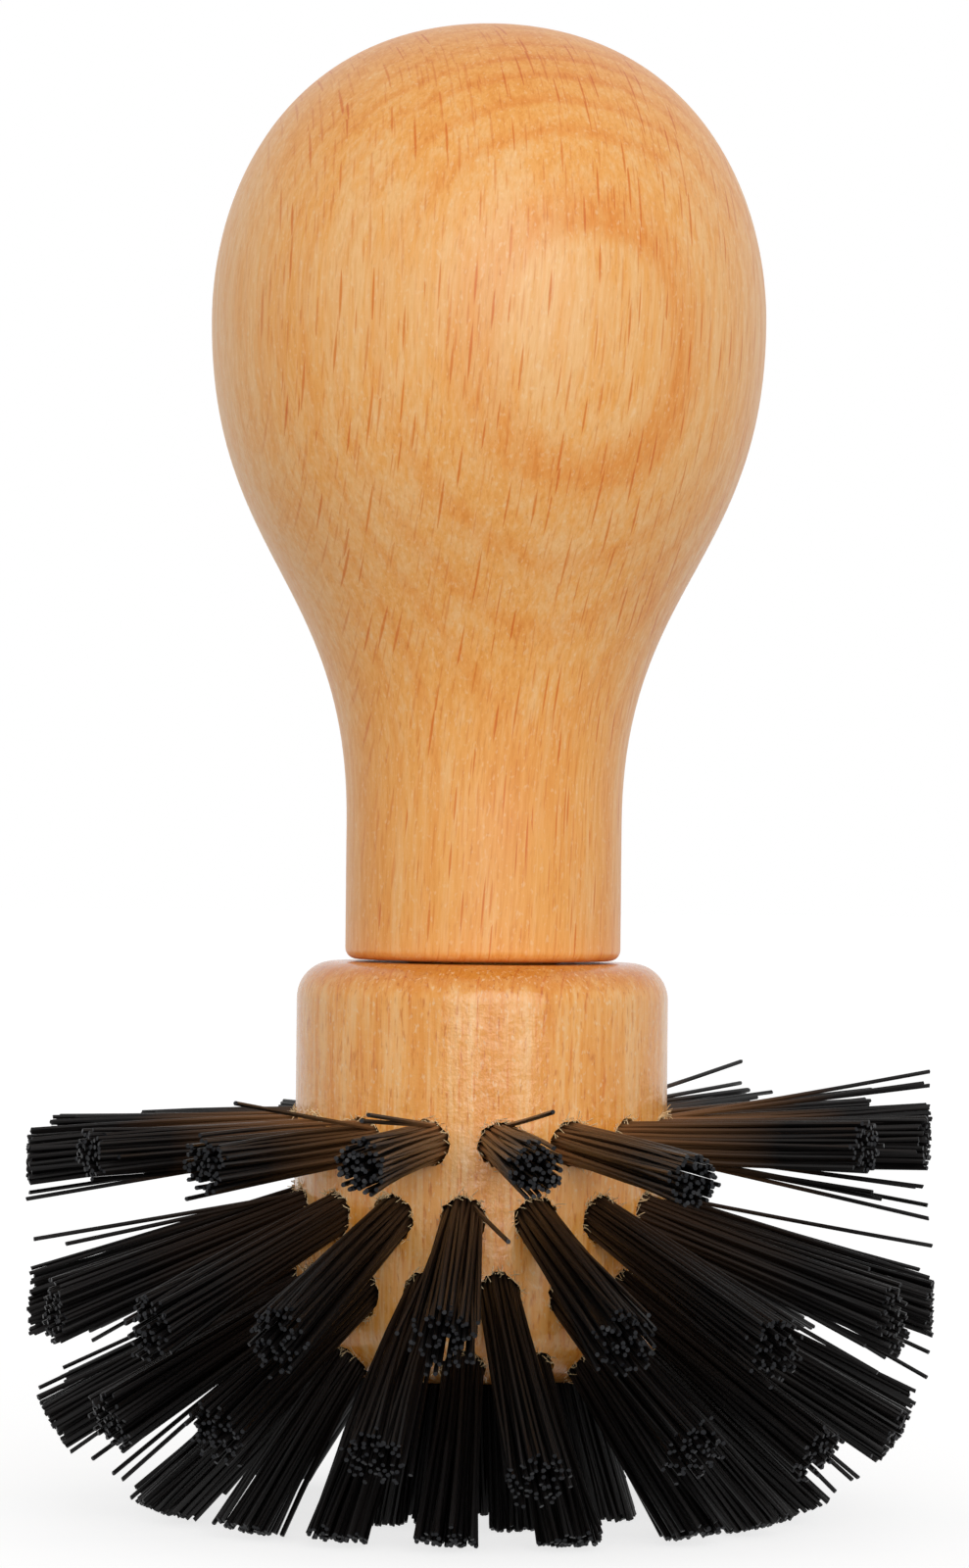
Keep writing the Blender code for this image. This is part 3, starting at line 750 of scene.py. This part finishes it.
def seed_points(name, fields):
    """An object with one point for each seed, and the named values that each carries."""
    mesh = bpy.data.meshes.new(name)
    mesh.from_pydata(fields.pop("position"), [], [])
    for label, values in fields.items():
        if isinstance(values[0], Vector):
            flat = [number for value in values for number in value]
            mesh.attributes.new(label, "FLOAT_VECTOR", "POINT").data.foreach_set("vector", flat)
        else:
            kind = "INT" if isinstance(values[0], int) else "FLOAT"
            mesh.attributes.new(label, kind, "POINT").data.foreach_set("value", values)
    return add_object(name, mesh)


def tuft_seeds(name, holes, strays, bristles, head):
    """Seed points for the tufts of some holes, and for single filaments that stray."""
    everything = [*holes, *(hole for hole, reach in strays)]
    alone = len(strays)
    return seed_points(name, {
        "position": [hole.mouth for hole in everything],
        "axis": [hole.axis for hole in everything],
        "side": [hole.side for hole in everything],
        "toward": [hole.toward for hole in everything],
        "filaments": [bristles.per_tuft] * len(holes) + [1] * alone,
        "pack": [head.hole_radius - bristles.radius] * len(holes) + [0.0] * alone,
        "steady": [0.0] * len(holes) + [STRAY_STEADINESS] * alone,
        "reach": [1.0] * len(holes) + [reach for hole, reach in strays],
    })


def make_filaments(name, holes, strays, nodes, seed_shift, fan_share=1.0, glow_share=0.0):
    """Grow the filaments of some holes, in place of the CAD model's thick strands."""
    scene = bpy.context.scene
    bristles = scene.brush_bristles
    outline = trim_outline(bristles)
    group = bpy.data.node_groups.get("Filament tufts") or filament_tree()
    material = bpy.data.materials.get("Black filament") or filament_material()
    seeds = tuft_seeds(f"{name}_seeds", holes, strays, bristles, scene.brush_head)
    piece = grow(name, seeds, group, {
        "Outline": outline, "Radius": bristles.radius, "Sides": FILAMENT_SIDES,
        "Root Depth": bristles.root_depth, "Fan Depth": bristles.fan_depth * fan_share,
        "Scatter": bristles.scatter, "Bow": bristles.bow, "Uneven": bristles.uneven,
        "Glow": glow_share, "Seed": bristles.seed + seed_shift, "Material": material})
    bpy.data.objects.remove(outline)
    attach(piece, "root")
    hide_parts(*nodes)


def fuzz_tree():
    """Geometry Nodes that turn each seed point into one short bent fibre."""
    tree, given = new_tree("Torn fibre", (("Radius", "Float"), ("Material", "Material")))
    here = tree.node("GeometryNodeInputPosition").outputs[0]
    points, path = capture(tree, given["Geometry"], [
        ("Root", "VECTOR", here), ("Way", "VECTOR", tree.attribute("way", "FLOAT_VECTOR")),
        ("Bend", "VECTOR", tree.attribute("bend", "FLOAT_VECTOR"))])
    points = tree.node("GeometryNodeMeshToPoints", Mesh=points).outputs[0]
    step = tree.node("GeometryNodeSplineParameter").outputs["Index"]
    along = tree.maths("DIVIDE", step, FIBRE_POINTS - 1.0)
    place = tree.total(
        path["Root"], tree.scaled(path["Way"], along),
        tree.scaled(path["Bend"], tree.times(along, along)))
    slim = tree.ramp(along, 0.0, 1.0, 1.0, FIBRE_TIP_SHARE)
    line = (FIBRE_POINTS, place, slim, [("along", along)])
    tubes(tree, points, line, given["Radius"], FIBRE_SIDES, given["Material"])
    return tree.tree


def fuzz_seeds(head, fuzz, seed):
    """Roots of torn fibres on the rims of the holes round the head, mostly above and below."""
    chance = random.Random(seed)
    roots, ways, bends = [], [], []
    for row, tilt in enumerate(ROW_TILTS):
        rise = math.cos(tilt) if row == len(ROW_TILTS) - 1 else 1.0 / math.cos(tilt)
        for hole in row_holes(head, row):
            for i in range(fuzz.per_hole):
                turn = chance.choice(RIM_SIDES) + chance.gauss(0.0, RIM_SPREAD)
                edge = head.hole_radius * chance.uniform(*RIM_SHARES)
                root = hole.mouth + hole.side * edge * math.cos(turn)
                root.z += edge * math.sin(turn) * rise
                outside = Vector((root.x, root.y, 0.0)).normalized()
                root = outside * (surface_radius(head, root.z) - FIBRE_SINK) + Vector((0.0, 0.0, root.z))
                size = fuzz.longest * chance.uniform(*FIBRE_SHARES) ** SHORTENING
                way = outside * chance.uniform(*STAND_SHARES) + hole.side * chance.gauss(0.0, FIBRE_LEAN)
                way.z += chance.gauss(FIBRE_LIFT, FIBRE_LEAN)
                roots.append(root)
                ways.append(way.normalized() * size)
                bends.append(Vector([chance.gauss(0.0, BEND_SHARE) * size for _ in range(3)]))
    return seed_points("fuzz_seeds", {"position": roots, "way": ways, "bend": bends})


def new_material(name):
    """A material, its node tree to be wired up, and its Principled shader."""
    material = bpy.data.materials.new(name)
    material.use_nodes = True
    return material, Tree(material.node_tree), material.node_tree.nodes["Principled BSDF"]


def filament_material():
    """Stiff black nylon: painted warm brown light near the wood, painted bluish glints on the cut ends."""
    bristles = bpy.context.scene.brush_bristles
    material, tree, shader = new_material("Black filament")
    along, tone, glow = (
        tree.node("ShaderNodeAttribute", {"attribute_name": name}).outputs["Fac"]
        for name in ("along", "tone", "glow"))
    near = tree.minus(1.0, tree.maths("POWER", tree.ramp(along, 0.0, 0.7), 0.75))
    # Painted warm light near the roots, as strong as each row's glow
    tint = tree.mix(tree.times(near, glow), bristles.tip_colour, bristles.lit_root_colour)
    tint = tree.mix(1.0, tint, tree.mix(tone, DARKEST_TONE, LIGHTEST_TONE), "MULTIPLY")
    # Painted glint: paler, bluer cut ends
    tint = tree.mix(tree.ramp(along, 1.3, 1.9), tint, bristles.cut_glint_colour)
    tree.feed(shader.inputs["Base Color"], tint)
    tree.feed(shader.inputs["Roughness"], tree.ramp(tone, 0.0, 1.0, 0.36, 0.52))
    tree.feed(shader.inputs["Specular IOR Level"], 0.22)
    return material


def fuzz_material():
    """Bare torn wood fibre, paler than the waxed wood."""
    fuzz = bpy.context.scene.brush_fuzz
    material, tree, shader = new_material("Torn beech fibre")
    coordinates = tree.node("ShaderNodeTexCoord").outputs["Object"]
    patch = tree.noise(tree.scaled(coordinates, 1 / MM), 0.8).outputs["Fac"]
    tint = tree.mix(tree.ramp(patch, 0.3, 0.7), fuzz.tint, fuzz.pale_tint)
    tree.feed(shader.inputs["Base Color"], tint)
    tree.feed(shader.inputs["Roughness"], 0.7)
    return material


def ray_flecks(tree, place, cell_size, thinness):
    """Thin upright lenses with pointed ends in a box of cells, each of its own length and strength."""
    cell = tree.vector("DIVIDE", place, cell_size)
    near = tree.node("ShaderNodeTexVoronoi", Vector=cell, Scale=1.0, Randomness=1.0)
    inward, across, up = tree.separate(tree.vector("SUBTRACT", cell, near.outputs["Position"]))
    luck = tree.separate(near.outputs["Color"])
    up = tree.times(up, tree.ramp(luck[0], 0.0, 1.0, 1.7, 3.3))
    ends = tree.plus(tree.times(inward, inward), tree.times(up, up))
    inside = tree.maths("MULTIPLY_ADD", tree.maths("ABSOLUTE", across), thinness, ends)
    ray = tree.ramp(inside, 0.35, 1.0, 1.0, 0.0, smooth=True)
    return tree.times(ray, tree.ramp(luck[1], 0.05, 0.65))


def beech_material(name, look):
    """Beech: growth rings round a far pith, ray flecks, fibre and turning marks, in millimetres."""
    material, tree, shader = new_material(name)
    source = tree.node("ShaderNodeTexCoord").outputs
    place = tree.scaled(source["Object"], 1 / MM)
    x, y, z = tree.separate(place)
    facing_up = tree.separate(source["Normal"])[2]

    # Grain: leans with height, and wanders
    above = tree.minus(z, look.level / MM)
    wander = tree.noise(tree.combine(x, y, tree.times(z, 0.35)), 0.06).outputs["Color"]
    wander = tree.scaled(tree.vector("SUBTRACT", wander, (0.5, 0.5, 0.5)), 1.8)
    upright = tree.combine(tree.maths("MULTIPLY_ADD", above, -look.lean, x), y, z)
    gx, gy, gz = tree.separate(tree.vector("ADD", upright, wander))

    # Polar coordinates about the pith. The seam of the angle lies on its far side
    pith = outward(look.pith_azimuth, 0.0) * look.pith_distance / MM
    px = tree.minus(gx, pith.x)
    py = tree.minus(gy, pith.y)
    radius = tree.vector("LENGTH", tree.combine(px, py, 0.0))
    ahead = tree.plus(tree.times(px, -pith.x), tree.times(py, -pith.y))
    aside = tree.minus(tree.times(py, -pith.x), tree.times(px, -pith.y))
    sweep = tree.times(tree.maths("ARCTAN2", aside, ahead), look.pith_distance / MM)

    # Growth rings: darkest just inside each border, pale again soon outside it. The last border
    # is the plainest, and the older ones show best where the top cuts across the grain
    last = look.last_width / look.ring_width
    rings = tree.maths("MULTIPLY_ADD", above, -look.dip, radius)
    rings = tree.maths("DIVIDE", tree.minus(rings, look.border / MM), look.ring_width / MM)
    outer = tree.maths("DIVIDE", tree.maths("MAXIMUM", rings, -last), last)
    older = tree.maths("MINIMUM", tree.plus(rings, last), 0.0)
    uneven = tree.noise(tree.combine(radius, 0.0, 0.0), 0.4, detail=1.0).outputs["Fac"]
    rings = tree.plus(tree.plus(outer, older), tree.ramp(uneven, 0.0, 1.0, -0.2, 0.2))
    phase = tree.maths("FRACT", rings)
    rise = tree.maths("POWER", tree.ramp(phase, 0.5, 0.97, smooth=True), 1.5)
    line = tree.maths("MAXIMUM", rise, tree.ramp(phase, 0.0, 0.17, 1.0, 0.0, smooth=True))
    fade = tree.noise(tree.combine(gx, gy, tree.times(gz, 0.4)), 0.085).outputs["Fac"]
    upward = tree.ramp(facing_up, 0.2, 0.85)
    old = tree.times(
        look.figure, tree.ramp(upward, 0.0, 1.0, 0.6, 1.0), tree.ramp(rings, -6.5, -4.0, 0.3, 1.0))
    plain = tree.ramp(rings, -0.95, -0.5, old, 1.0)
    line = tree.times(line, plain, tree.ramp(fade, 0.36, 0.6, 0.45, 1.0))

    def grain(kind):
        """Noise drawn out along the grain."""
        scale, along, detail, roughness = GRAIN[kind]
        point = tree.combine(gx, gy, tree.times(gz, along))
        return tree.noise(point, scale, detail, roughness).outputs["Fac"]

    # Warmth: pale at 0, honey at 0.5 and orange at 1.1. End grain adds to it, partly as painted shade
    fibre = grain("fibre")
    clouds = tree.noise(tree.combine(gy, gx, tree.times(gz, 0.6)), 0.12, 3.0).outputs["Fac"]
    # Warmer where the surface faces up, a little where it faces down: the end grain, and painted shade
    downward = tree.ramp(facing_up, -0.6, 0.0, 0.06, 0.0)
    end_grain_and_shade = tree.maths("MAXIMUM", tree.times(upward, 0.58), downward)
    warmth = tree.maths("MULTIPLY_ADD", tree.times(phase, plain), 0.08, look.warmth)
    warmth = tree.plus(warmth, tree.ramp(above, -31.0, -5.0, look.blush, 0.0))
    spreads = (
        (grain("bands"), 0.2), (grain("streaks"), 0.9 * look.streaking), (grain("threads"), look.streaking),
        (clouds, 0.07))
    for noise, spread in spreads:
        warmth = tree.plus(warmth, tree.ramp(noise, 0.3, 0.7, -spread, spread))
    warmth = tree.plus(end_grain_and_shade, warmth)
    tint = tree.mix(tree.ramp(warmth, 0.0, 0.5), look.pale, look.honey)
    tint = tree.mix(tree.ramp(warmth, 0.5, 1.1), tint, look.orange)
    tint = tree.mix(line, tint, look.line, "MULTIPLY")

    # End grain that faces up is darker, partly from wax and partly as painted shade. Painted shade under
    # the lower edges
    painted_under_shade = tree.ramp(facing_up, -0.95, -0.55, 0.8, 0.0)
    # Holds wax and painted shade on end grain that faces up, and painted shade under the lower edges
    waxed = tree.maths("MAXIMUM", tree.times(upward, look.shade), painted_under_shade)
    tint = tree.mix(waxed, tint, look.wax_and_shade, "MULTIPLY")

    # Fibre, pores and pale specks
    fibres = tree.mix(tree.ramp(fibre, 0.25, 0.75), PALE_FIBRE, DARK_FIBRE)
    tint = tree.mix(1.0, tint, fibres, "MULTIPLY")
    pores = tree.ramp(grain("pores"), 0.58, 0.7, 0.0, look.pores)
    tint = tree.mix(pores, tint, look.pore, "MULTIPLY")
    specks = tree.ramp(grain("specks"), 0.6, 0.75, 0.0, 0.3 + look.pores * 0.4)
    tint = tree.mix(specks, tint, look.speck)

    # Rays: thin sheets that run out from the pith, seen edge-on as upright flecks
    polar = tree.combine(radius, sweep, gz)
    strong = ray_flecks(tree, polar, *STRONG_RAYS)
    faint = ray_flecks(tree, polar, *FAINT_RAYS)
    ray = tree.maths("MAXIMUM", strong, tree.times(faint, 0.5))
    # Where the surface runs along the rays they would show as broad patches, which wax hides
    toward_pith = tree.vector("DOT_PRODUCT", source["Normal"], tuple(outward(look.pith_azimuth, 0.0)))
    square = tree.ramp(tree.maths("ABSOLUTE", toward_pith), 0.08, 0.4)
    ray = tree.times(ray, tree.maths("MAXIMUM", square, upward), look.fleck_depth)
    tint = tree.mix(ray, tint, look.fleck, "MULTIPLY")
    tree.feed(shader.inputs["Base Color"], tint)

    # Surface: fibre, sunken rays, marks of the turning tool and shallow dents
    tree.feed(shader.inputs["Roughness"], tree.ramp(fibre, 0.3, 0.7, look.gloss - 0.03, look.gloss + 0.08))
    turning = tree.noise(tree.combine(0.0, 0.0, z), 5.0).outputs["Fac"]
    relief = tree.plus(tree.times(fibre, 0.5), tree.times(ray, -0.4))
    relief = tree.maths("MULTIPLY_ADD", turning, 0.5, relief)
    dents = tree.noise(place, 0.8, detail=4.0, roughness=0.6).outputs["Fac"]
    relief = tree.maths("MULTIPLY_ADD", dents, look.dents * 10.0, relief)
    bump = tree.node("ShaderNodeBump", Height=relief, Strength=0.25, Distance=RELIEF_DEPTH)
    tree.feed(shader.inputs["Normal"], bump.outputs[0])
    return material


def steel_material():
    """Drawn steel wire."""
    material, tree, shader = new_material("Anchor wire")
    coordinates = tree.node("ShaderNodeTexCoord").outputs["Object"]
    drawn = tree.noise(tree.vector("MULTIPLY", coordinates, (9000.0, 9000.0, 400.0)), 1.0).outputs["Fac"]
    tree.feed(shader.inputs["Base Color"], tree.mix(drawn, (0.5, 0.5, 0.49), (0.7, 0.7, 0.68)))
    tree.feed(shader.inputs["Metallic"], 1.0)
    tree.feed(shader.inputs["Roughness"], tree.ramp(drawn, 0.3, 0.7, 0.25, 0.42))
    return material


def seen_directly(tree):
    """1 where the camera sees something, also in or through something else, and 0 for the light."""
    path = tree.node("ShaderNodeLightPath").outputs
    seen = tree.maths("MAXIMUM", path["Is Camera Ray"], path["Is Glossy Ray"])
    return tree.maths("MAXIMUM", seen, path["Is Transmission Ray"])


def dress(obj, material):
    """Give an object one material."""
    obj.data.materials.clear()
    obj.data.materials.append(material)


class BRUSH_OT_handle(bpy.types.Operator):
    """Turn the handle: a round knob on a waisted neck"""

    bl_idname = "brush.handle"
    bl_label = "Handle"

    def execute(self, context):
        sizes = context.scene.brush_handle
        head = context.scene.brush_head
        bottom = HANDLE_LOW.z - (HANDLE_LOW.z - HEAD_HIGH.z - sizes.seam) / 2
        widest = (sizes.knob_radius, HANDLE_LOW.z + sizes.knob_height)
        crown = HANDLE_HIGH.z - widest[1]
        neck = (sizes.neck_radius, HANDLE_LOW.z + sizes.neck_length)
        waist = widest[1] - neck[1]
        bore = DOWEL_HIGH.x + head.dowel_play
        bore_end = DOWEL_HIGH.z + head.dowel_play
        edge = (sizes.neck_radius - sizes.end_round, bottom + sizes.end_round)
        profile = curve(
            (0.0, HANDLE_HIGH.z), (sizes.knob_radius * sizes.pole_pull, HANDLE_HIGH.z),
            (sizes.knob_radius, widest[1] + crown * sizes.crown_pull), widest, CURVE_POINTS)
        profile += curve(
            widest, (sizes.knob_radius, widest[1] - waist * sizes.waist_pull),
            (sizes.neck_radius, neck[1] + waist * sizes.cove_pull), neck, CURVE_POINTS)[1:]
        profile += arc(edge, sizes.end_round, 0.0, -math.pi / 2, EDGE_STEPS)
        profile += [(bore, bottom), (bore, bore_end), (0.0, bore_end)]
        piece = turned("turned_handle", profile, TURN_STEPS)
        dress(piece, beech_material("Handle beech", context.scene.brush_handle_beech))
        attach(piece, "root")
        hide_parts("handle_knob")
        return {"FINISHED"}


class BRUSH_OT_head(bpy.types.Operator):
    """Turn the head, and drill it all round and over its end"""

    bl_idname = "brush.head"
    bl_label = "Head"

    def execute(self, context):
        sizes = context.scene.brush_head
        seam = context.scene.brush_handle.seam
        top = HEAD_HIGH.z + (HANDLE_LOW.z - HEAD_HIGH.z - seam) / 2
        bore = DOWEL_HIGH.x + sizes.dowel_play
        bore_end = DOWEL_LOW.z - sizes.dowel_play
        shoulder = (sizes.radius - sizes.shoulder, top - sizes.shoulder)
        edge = (sizes.radius - sizes.end_round, HEAD_LOW.z + sizes.end_round)
        profile = [(0.0, bore_end), (bore, bore_end), (bore, top)]
        profile += arc(shoulder, sizes.shoulder, math.pi / 2, 0.0, SHOULDER_STEPS)
        profile += arc(edge, sizes.end_round, 0.0, -math.pi / 2, EDGE_STEPS)
        profile.append((0.0, HEAD_LOW.z))
        piece = turned("drilled_head", profile, TURN_STEPS)
        holes = [hole for row in range(len(ROW_TILTS)) for hole in row_holes(sizes, row)]
        holes += [hole for ring in END_RINGS for hole in ring_holes(ring)]
        chance = random.Random(context.scene.brush_bristles.seed)
        bm = bmesh.new()
        for hole in holes:
            drill = bmesh.ops.create_cone(
                bm, cap_ends=True, segments=HOLE_SIDES, radius1=1.0, radius2=1.0,
                depth=DRILL_OVERRUN + sizes.hole_depth)["verts"]
            torn = [sizes.hole_radius * (1.0 + sizes.hole_wear * chance.uniform(-0.3, 1.0))
                    for _ in range(HOLE_SIDES)]
            for vert in drill:
                side = round(math.atan2(vert.co.y, vert.co.x) / math.tau * HOLE_SIDES) % HOLE_SIDES
                vert.co.xy *= torn[side]
            shift = Matrix.Translation((0.0, 0.0, (DRILL_OVERRUN - sizes.hole_depth) / 2))
            bmesh.ops.transform(bm, matrix=hole.place() @ shift, verts=drill)
        drills = new_object("drills", bm)
        cut = piece.modifiers.new("Drill", "BOOLEAN")
        cut.operation = "DIFFERENCE"
        cut.solver = "EXACT"
        cut.object = drills
        settle(piece)
        bpy.data.objects.remove(drills)
        dress(piece, beech_material("Head beech", context.scene.brush_head_beech))
        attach(piece, "root")
        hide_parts("brush_head")
        return {"FINISHED"}


class BRUSH_OT_side_tufts(bpy.types.Operator):
    """Grow the filaments of the four rows around the head"""

    bl_idname = "brush.side_tufts"
    bl_label = "Side Tufts"

    def execute(self, context):
        head = context.scene.brush_head
        bristles = context.scene.brush_bristles
        room = head.hole_radius - bristles.radius
        for row in range(len(ROW_TILTS)):
            plain = row_holes(head, row)
            holes = leaning_holes(head, row, bristles)
            strays = []
            for stray_row, hole, turn, droop, reach in STRAYS:
                if stray_row == row:
                    turn, droop = math.radians(turn), math.radians(droop)
                    strays.append((plain[hole].straying(turn, droop, room, bristles.stray_length), reach))
            make_filaments(f"row_{row + 1}_filaments", holes, strays, [f"bristle_row_{row + 1}"], row,
                           FAN_SHARES[row], GLOW_SHARES[row])
        return {"FINISHED"}


class BRUSH_OT_end_tufts(bpy.types.Operator):
    """Grow the filaments of the rings in the head's end"""

    bl_idname = "brush.end_tufts"
    bl_label = "End Tufts"

    def execute(self, context):
        for i, ring in enumerate(END_RINGS):
            nodes = [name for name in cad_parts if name.startswith(f"end_tuft_{ring[0]}")]
            make_filaments(f"end_{ring[0]}_filaments", ring_holes(ring), [], nodes, len(ROW_TILTS) + i)
        return {"FINISHED"}


class BRUSH_OT_fuzz(bpy.types.Operator):
    """Put torn wood fibre round the holes of the rows"""

    bl_idname = "brush.fuzz"
    bl_label = "Torn Fibre"

    def execute(self, context):
        scene = context.scene
        seeds = fuzz_seeds(scene.brush_head, scene.brush_fuzz, scene.brush_bristles.seed)
        piece = grow("torn_fibre", seeds, fuzz_tree(), {
            "Radius": scene.brush_fuzz.radius, "Material": fuzz_material()})
        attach(piece, "root")
        return {"FINISHED"}


class BRUSH_OT_hidden(bpy.types.Operator):
    """Finish what the brush hides: the dowel and the anchors"""

    bl_idname = "brush.hidden"
    bl_label = "Hidden Pieces"

    def execute(self, context):
        dress(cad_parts["dowel"], beech_material("Dowel beech", context.scene.brush_dowel_beech))
        steel = steel_material()
        for name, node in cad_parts.items():
            if name.startswith("end_anchor"):
                dress(node, steel)
        return {"FINISHED"}


class BRUSH_OT_stage(bpy.types.Operator):
    """Set up the floor, the light and the camera"""

    bl_idname = "brush.stage"
    bl_label = "Stage"

    def execute(self, context):
        scene = context.scene
        stage = scene.brush_stage
        scene.view_settings.view_transform = "Standard"

        bm = bmesh.new()
        bmesh.ops.create_grid(bm, x_segments=1, y_segments=1, size=stage.floor_size)
        floor = new_object("floor", bm)
        material, tree, shader = new_material("White floor")
        seen = seen_directly(tree)
        tree.feed(shader.inputs["Base Color"], tree.mix(seen, stage.floor_tint, stage.floor_seen))
        tree.feed(shader.inputs["Roughness"], 1.0)
        tree.feed(shader.inputs["Specular IOR Level"], 0.0)
        tree.feed(shader.inputs["Emission Color"], (1.0, 1.0, 1.0))
        tree.feed(shader.inputs["Emission Strength"], tree.times(seen, stage.floor_glow))
        dress(floor, material)

        world = bpy.data.worlds.new("Studio")
        world.use_nodes = True
        scene.world = world
        tree = Tree(world.node_tree)
        background = world.node_tree.nodes["Background"]
        up = tree.separate(tree.node("ShaderNodeTexCoord").outputs["Generated"])[2]
        soft = tree.ramp(up, 0.0, 1.0, stage.level_light, stage.top_light)
        tree.feed(background.inputs["Color"], (1.0, 1.0, 1.0))
        tree.feed(background.inputs["Strength"], tree.maths("MAXIMUM", seen_directly(tree), soft))

        sun = bpy.data.lights.new("key", "SUN")
        sun.energy = stage.key_strength
        sun.angle = stage.key_spread
        lamp = add_object("key", sun)
        toward = outward(stage.key_azimuth, -stage.key_height)
        lamp.rotation_mode = "QUATERNION"
        lamp.rotation_quaternion = toward.to_track_quat("Z", "Y")

        lens = bpy.data.cameras.new("photo")
        camera = add_object("photo", lens)
        camera.location = (0.0, -stage.distance, stage.eye_height)
        aim = Vector((0.0, 0.0, stage.aim_height)) - camera.location
        roll = Matrix.Rotation(stage.roll, 4, "Z").to_quaternion()
        camera.rotation_mode = "QUATERNION"
        camera.rotation_quaternion = aim.to_track_quat("-Z", "Y") @ roll
        lens.sensor_width = 36.0
        lens.lens = lens.sensor_width * aim.length / stage.picture_height
        lens.clip_start = 0.01
        lens.clip_end = 20.0
        scene.camera = camera
        return {"FINISHED"}


class BRUSH_PT_panel(bpy.types.Panel):
    """Steps that dress the brush"""

    bl_label = "Cleaning Brush"
    bl_idname = "BRUSH_PT_panel"
    bl_space_type = "VIEW_3D"
    bl_region_type = "UI"
    bl_category = "Brush"

    def draw(self, context):
        for step in STEPS:
            self.layout.operator(step.bl_idname)


SETTINGS = {
    "brush_handle": BrushHandleSizes,
    "brush_head": BrushHeadSizes,
    "brush_bristles": BrushBristles,
    "brush_fuzz": BrushFuzz,
    "brush_handle_beech": BrushBeech,
    "brush_head_beech": BrushBeech,
    "brush_dowel_beech": BrushBeech,
    "brush_stage": BrushStage,
}
STEPS = (
    BRUSH_OT_stage, BRUSH_OT_handle, BRUSH_OT_head, BRUSH_OT_side_tufts, BRUSH_OT_end_tufts, BRUSH_OT_fuzz,
    BRUSH_OT_hidden,
)
GROUPS = (BrushHandleSizes, BrushHeadSizes, BrushBristles, BrushFuzz, BrushBeech, BrushStage)

# Where the head's and the dowel's wood differ from the handle's
BEECH_CHANGES = {
    "brush_head_beech": {
        "pith_azimuth": math.radians(160.0), "pith_distance": 60.0 * MM, "border": 76.0 * MM, "dip": 0.0,
        "lean": 0.0, "figure": 0.25, "warmth": 0.26, "fleck_depth": 0.6, "gloss": 0.17,
        "streaking": 0.5, "pores": 0.75, "dents": 1.0, "shade": 0.7,
    },
    "brush_dowel_beech": {"border": 74.0 * MM, "gloss": 0.55},
}


def register():
    """Register the settings, the steps and the panel."""
    for item in (*GROUPS, *STEPS, BRUSH_PT_panel):
        bpy.utils.register_class(item)
    for name, group in SETTINGS.items():
        setattr(bpy.types.Scene, name, PointerProperty(type=group))


def unregister():
    """Undo register."""
    for name in SETTINGS:
        delattr(bpy.types.Scene, name)
    for item in reversed((*GROUPS, *STEPS, BRUSH_PT_panel)):
        bpy.utils.unregister_class(item)


def main():
    """Dress the brush, one step after the other."""
    register()
    for name, changes in BEECH_CHANGES.items():
        for key, value in changes.items():
            setattr(getattr(bpy.context.scene, name), key, value)
    for step in (bpy.ops.brush.stage, bpy.ops.brush.handle, bpy.ops.brush.head, bpy.ops.brush.side_tufts,
                 bpy.ops.brush.end_tufts, bpy.ops.brush.fuzz, bpy.ops.brush.hidden):
        step()


if __name__ == "__main__":
    main()
